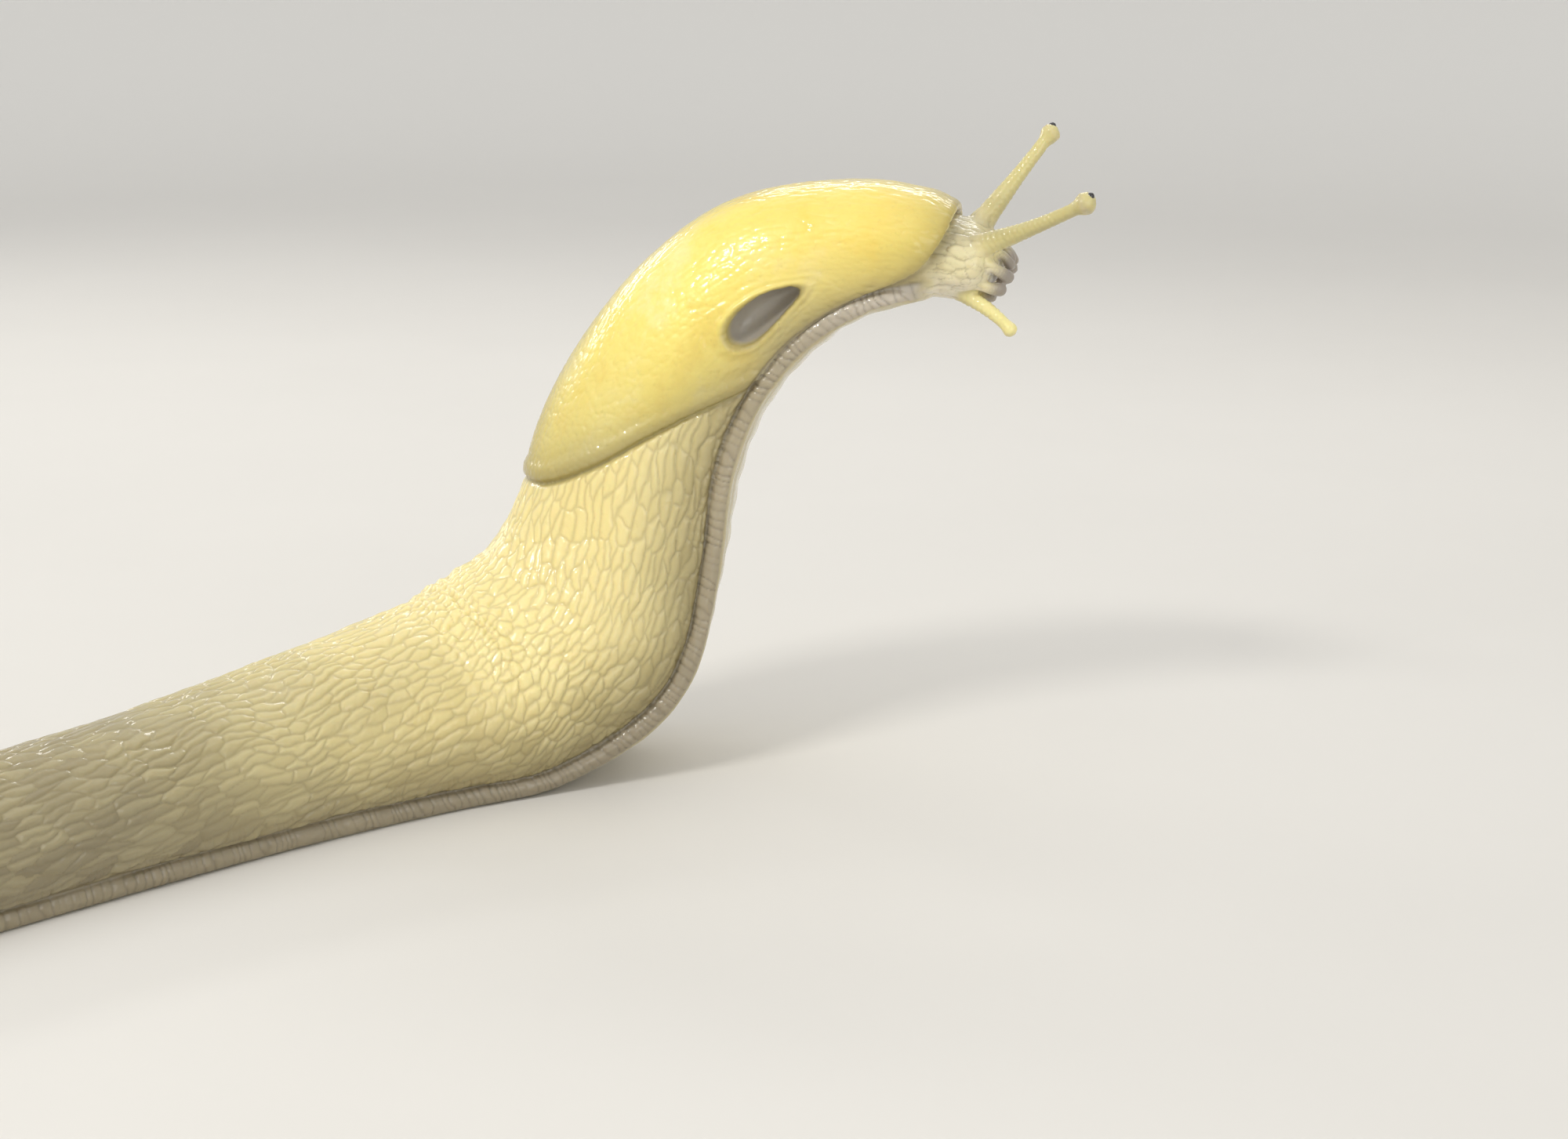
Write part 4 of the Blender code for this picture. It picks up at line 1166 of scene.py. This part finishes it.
    # Painted shade in the sole's wrinkles.
    under_foot = t.mix(t.math("MULTIPLY", t.attribute("wrinkle"), 0.12), under_foot, linear(150, 138, 104))
    colour = t.mix(sole, colour, under_foot)
    face = t.mix(patch, linear(220, 208, 156), linear(234, 224, 184))
    # Painted shade: the head's underside greyer.
    face = t.mix(t.math("MULTIPLY", under, 0.7), face, linear(228, 220, 202))
    # Painted shade in the hollows between the head's warts.
    face = t.mix(t.math("MULTIPLY", t.attribute("hollow_shade"), 0.45), face, linear(150, 138, 100))
    colour = t.mix(head, colour, face)
    stalk = t.mix(patch, linear(234, 222, 142), linear(246, 236, 176))
    # Painted shade at the feelers' roots.
    stalk = t.mix(t.math("MULTIPLY", t.attribute("stalk_root_shade"), t.ramp(patch, 0.3, 0.7, 0.15, 0.45)), stalk, linear(168, 156, 108))
    # Painted shade: the feelers' undersides darker.
    colour = t.mix(feeler, colour, t.mix(t.math("MULTIPLY", under, 0.35), stalk, linear(180, 170, 130)))
    colour = t.mix(lips, colour, t.mix(patch, linear(142, 134, 124), linear(168, 159, 146)))
    # Painted shade in the mouth's slit.
    colour = t.mix(t.math("MULTIPLY", t.attribute("slit_shade"), 0.75), colour, linear(72, 62, 54))
    # Painted shade in the crease under the mantle's rim and in the groove above the fringe.
    colour = t.mix(t.math("MULTIPLY", crease_shade, 0.4), colour, linear(112, 100, 70))
    colour = t.mix(hole, colour, t.mix(patch, linear(158, 151, 140), linear(184, 177, 164)))
    colour = t.mix(t.ramp(speck, 0.55, 0.8, 0, 0.1), colour, linear(130, 114, 72))

    skin_pores = t.add("ShaderNodeTexVoronoi", inputs={"Vector": where, "Scale": 2600.0}).outputs["Distance"]
    height_sum = t.math("ADD", t.math("MULTIPLY", skin_pores, 0.5), t.math("MULTIPLY", speck, 0.8))
    bump = t.add("ShaderNodeBump", inputs={"Strength": 0.35, "Distance": 0.00006, "Height": height_sum}).outputs[0]
    film = t.add("ShaderNodeBump", inputs={"Strength": 0.12, "Distance": 0.00006, "Height": t.noise(600, 3, 0.5, where)}).outputs[0]
    rough = t.ramp(patch, 0.3, 0.7, 0.34, 0.5)
    shader = t.add("ShaderNodeBsdfPrincipled", inputs={
        "Base Color": colour, "Roughness": rough, "Normal": bump, "Coat Normal": film,
        "Coat Weight": 0.8, "Coat Roughness": 0.055, "Coat IOR": 1.38,
        "Subsurface Weight": 0.22, "Subsurface Scale": 0.0014, "Subsurface Radius": (1.0, 0.62, 0.25),
        "Specular IOR Level": 0.5,
    })
    out = t.add("ShaderNodeOutputMaterial")
    t.tree.links.new(shader.outputs[0], out.inputs[0])
    return material


def eye_material():
    material = bpy.data.materials.new("eye_black")
    t = Nodes(material)
    where = t.add("ShaderNodeTexCoord").outputs["Object"]
    colour = t.mix(t.ramp(t.noise(3000, 2, 0.5, where), 0.4, 0.7), (0.004, 0.004, 0.005, 1), (0.016, 0.012, 0.01, 1))
    shader = t.add("ShaderNodeBsdfPrincipled", inputs={
        "Base Color": colour, "Roughness": 0.22, "Coat Weight": 1.0, "Coat Roughness": 0.03,
    })
    out = t.add("ShaderNodeOutputMaterial")
    t.tree.links.new(shader.outputs[0], out.inputs[0])
    return material


skin_mesh.materials.append(skin_material())
black = eye_material()


def make_eye(name):
    """A dark ball with a low clear dome, let into the upper front of the knob."""
    centre, look = eye_place(name)
    side, tall = square_to(look)
    rows, columns = 28, 40
    polar = np.linspace(0.02, pi - 0.02, rows)[:, None]
    turn = np.linspace(0, 2 * pi, columns, endpoint=False)[None]
    radius = EYE_RADIUS * (1 + 0.07 * np.exp(-((polar / 0.55) ** 2)))
    points = centre + (radius * np.sin(polar))[..., None] * (
        np.cos(turn)[..., None] * side + np.sin(turn)[..., None] * tall
    ) + (radius * np.cos(polar) + 0 * turn)[..., None] * look
    ball = Heap()
    ball.loft(points)
    mesh = bpy.data.meshes.new("eyeball_" + name.rsplit("_", 1)[1])
    mesh.from_pydata(np.concatenate(ball.points) * MM, [], ball.faces)
    bm = bmesh.new()
    bm.from_mesh(mesh)
    bmesh.ops.recalc_face_normals(bm, faces=bm.faces)
    bm.to_mesh(mesh)
    bm.free()
    mesh.shade_smooth()
    mesh.materials.append(black)
    ball = bpy.data.objects.new(mesh.name, mesh)
    bpy.context.scene.collection.objects.link(ball)
    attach(ball, "root")
    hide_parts("eye_" + name.rsplit("_", 1)[1])


for _name in ("upper_tentacle_right", "upper_tentacle_left"):
    make_eye(_name)


# ---------------------------------------------------------------- the studio
def make_floor():
    """A round floor that sweeps up into a backdrop on every side."""
    line = [(r, 0.0) for r in (0.25, 0.5, 0.7)]
    line += [(0.7 + 1.2 * sin(a), 1.2 - 1.2 * cos(a)) for a in (pi / 2 * i / 24 for i in range(1, 25))]
    line += [(1.9, 1.7)]
    turns = 120
    points = [(0, 0, -2e-5)] + [(r * cos(2 * pi * k / turns), r * sin(2 * pi * k / turns), z - 2e-5) for r, z in line for k in range(turns)]
    faces = [(0, 1 + k, 1 + (k + 1) % turns) for k in range(turns)]
    for i in range(len(line) - 1):
        for k in range(turns):
            m, here, there = (k + 1) % turns, 1 + i * turns, 1 + (i + 1) * turns
            faces.append((here + k, there + k, there + m, here + m))
    mesh = bpy.data.meshes.new("floor")
    mesh.from_pydata(points, [], faces)
    mesh.shade_smooth()
    material = bpy.data.materials.new("floor")
    t = Nodes(material)
    where = t.add("ShaderNodeTexCoord").outputs["Object"]
    colour = t.mix(t.noise(7, 4, 0.6, where), linear(222, 219, 213), linear(214, 211, 205))
    away = t.add("ShaderNodeVectorMath", operation="LENGTH", inputs={0: where}).outputs["Value"]
    # Painted light: the floor and backdrop paler further from the middle, where less light falls.
    colour = t.mix(t.ramp(away, 0.3, 1.0), colour, linear(240, 238, 233))
    shader = t.add("ShaderNodeBsdfPrincipled", inputs={"Base Color": colour, "Roughness": 0.85})
    out = t.add("ShaderNodeOutputMaterial")
    t.tree.links.new(shader.outputs[0], out.inputs[0])
    mesh.materials.append(material)
    floor = bpy.data.objects.new("floor", mesh)
    bpy.context.scene.collection.objects.link(floor)


def make_light(name, place, aim, size, power, colour=(1, 1, 1)):
    data = bpy.data.lights.new(name, "AREA")
    data.shape, data.size, data.size_y, data.energy, data.color = "RECTANGLE", size[0], size[1], power, colour
    light = bpy.data.objects.new(name, data)
    light.location = place
    light.rotation_euler = (Vector(aim) - Vector(place)).to_track_quat("-Z", "Y").to_euler()
    light.visible_camera = False
    bpy.context.scene.collection.objects.link(light)


make_floor()
make_light("key", (-0.2, -0.24, 0.4), (0.01, 0.0, 0.03), (0.12, 0.06), 0.92, (1.0, 0.98, 0.94))
make_light("fill", (0.3, -0.4, 0.2), (0.03, 0.0, 0.04), (0.35, 0.3), 0.55, (0.96, 0.98, 1.0))
make_light("rim", (0.1, 0.34, 0.3), (0.02, 0.0, 0.05), (0.3, 0.05), 0.32, (1.0, 0.99, 0.97))
make_light("edge", (-0.3, 0.34, 0.24), (0.0, 0.0, 0.04), (0.3, 0.05), 0.36, (1.0, 0.99, 0.97))
make_light("top", (0.0, 0.0, 1.9), (0.0, 0.0, 0.0), (3.0, 3.0), 16.0)
world = bpy.data.worlds.new("studio")
world.use_nodes = True
world.node_tree.nodes["Background"].inputs[0].default_value = (0.93, 0.95, 1.0, 1)
world.node_tree.nodes["Background"].inputs[1].default_value = 0.4
bpy.context.scene.world = world
bpy.context.scene.view_settings.view_transform = "Standard"

camera_data = bpy.data.cameras.new("camera")
camera_data.lens, camera_data.sensor_width, camera_data.clip_start, camera_data.clip_end = 63.0, 36.0, 0.005, 20.0
camera = bpy.data.objects.new("camera", camera_data)
camera.location = (0.04304, -0.26587, 0.09750)
camera.rotation_euler = (radians(90 - 14), 0, 0)
bpy.context.scene.collection.objects.link(camera)
bpy.context.scene.camera = camera

bpy.context.view_layer.update()
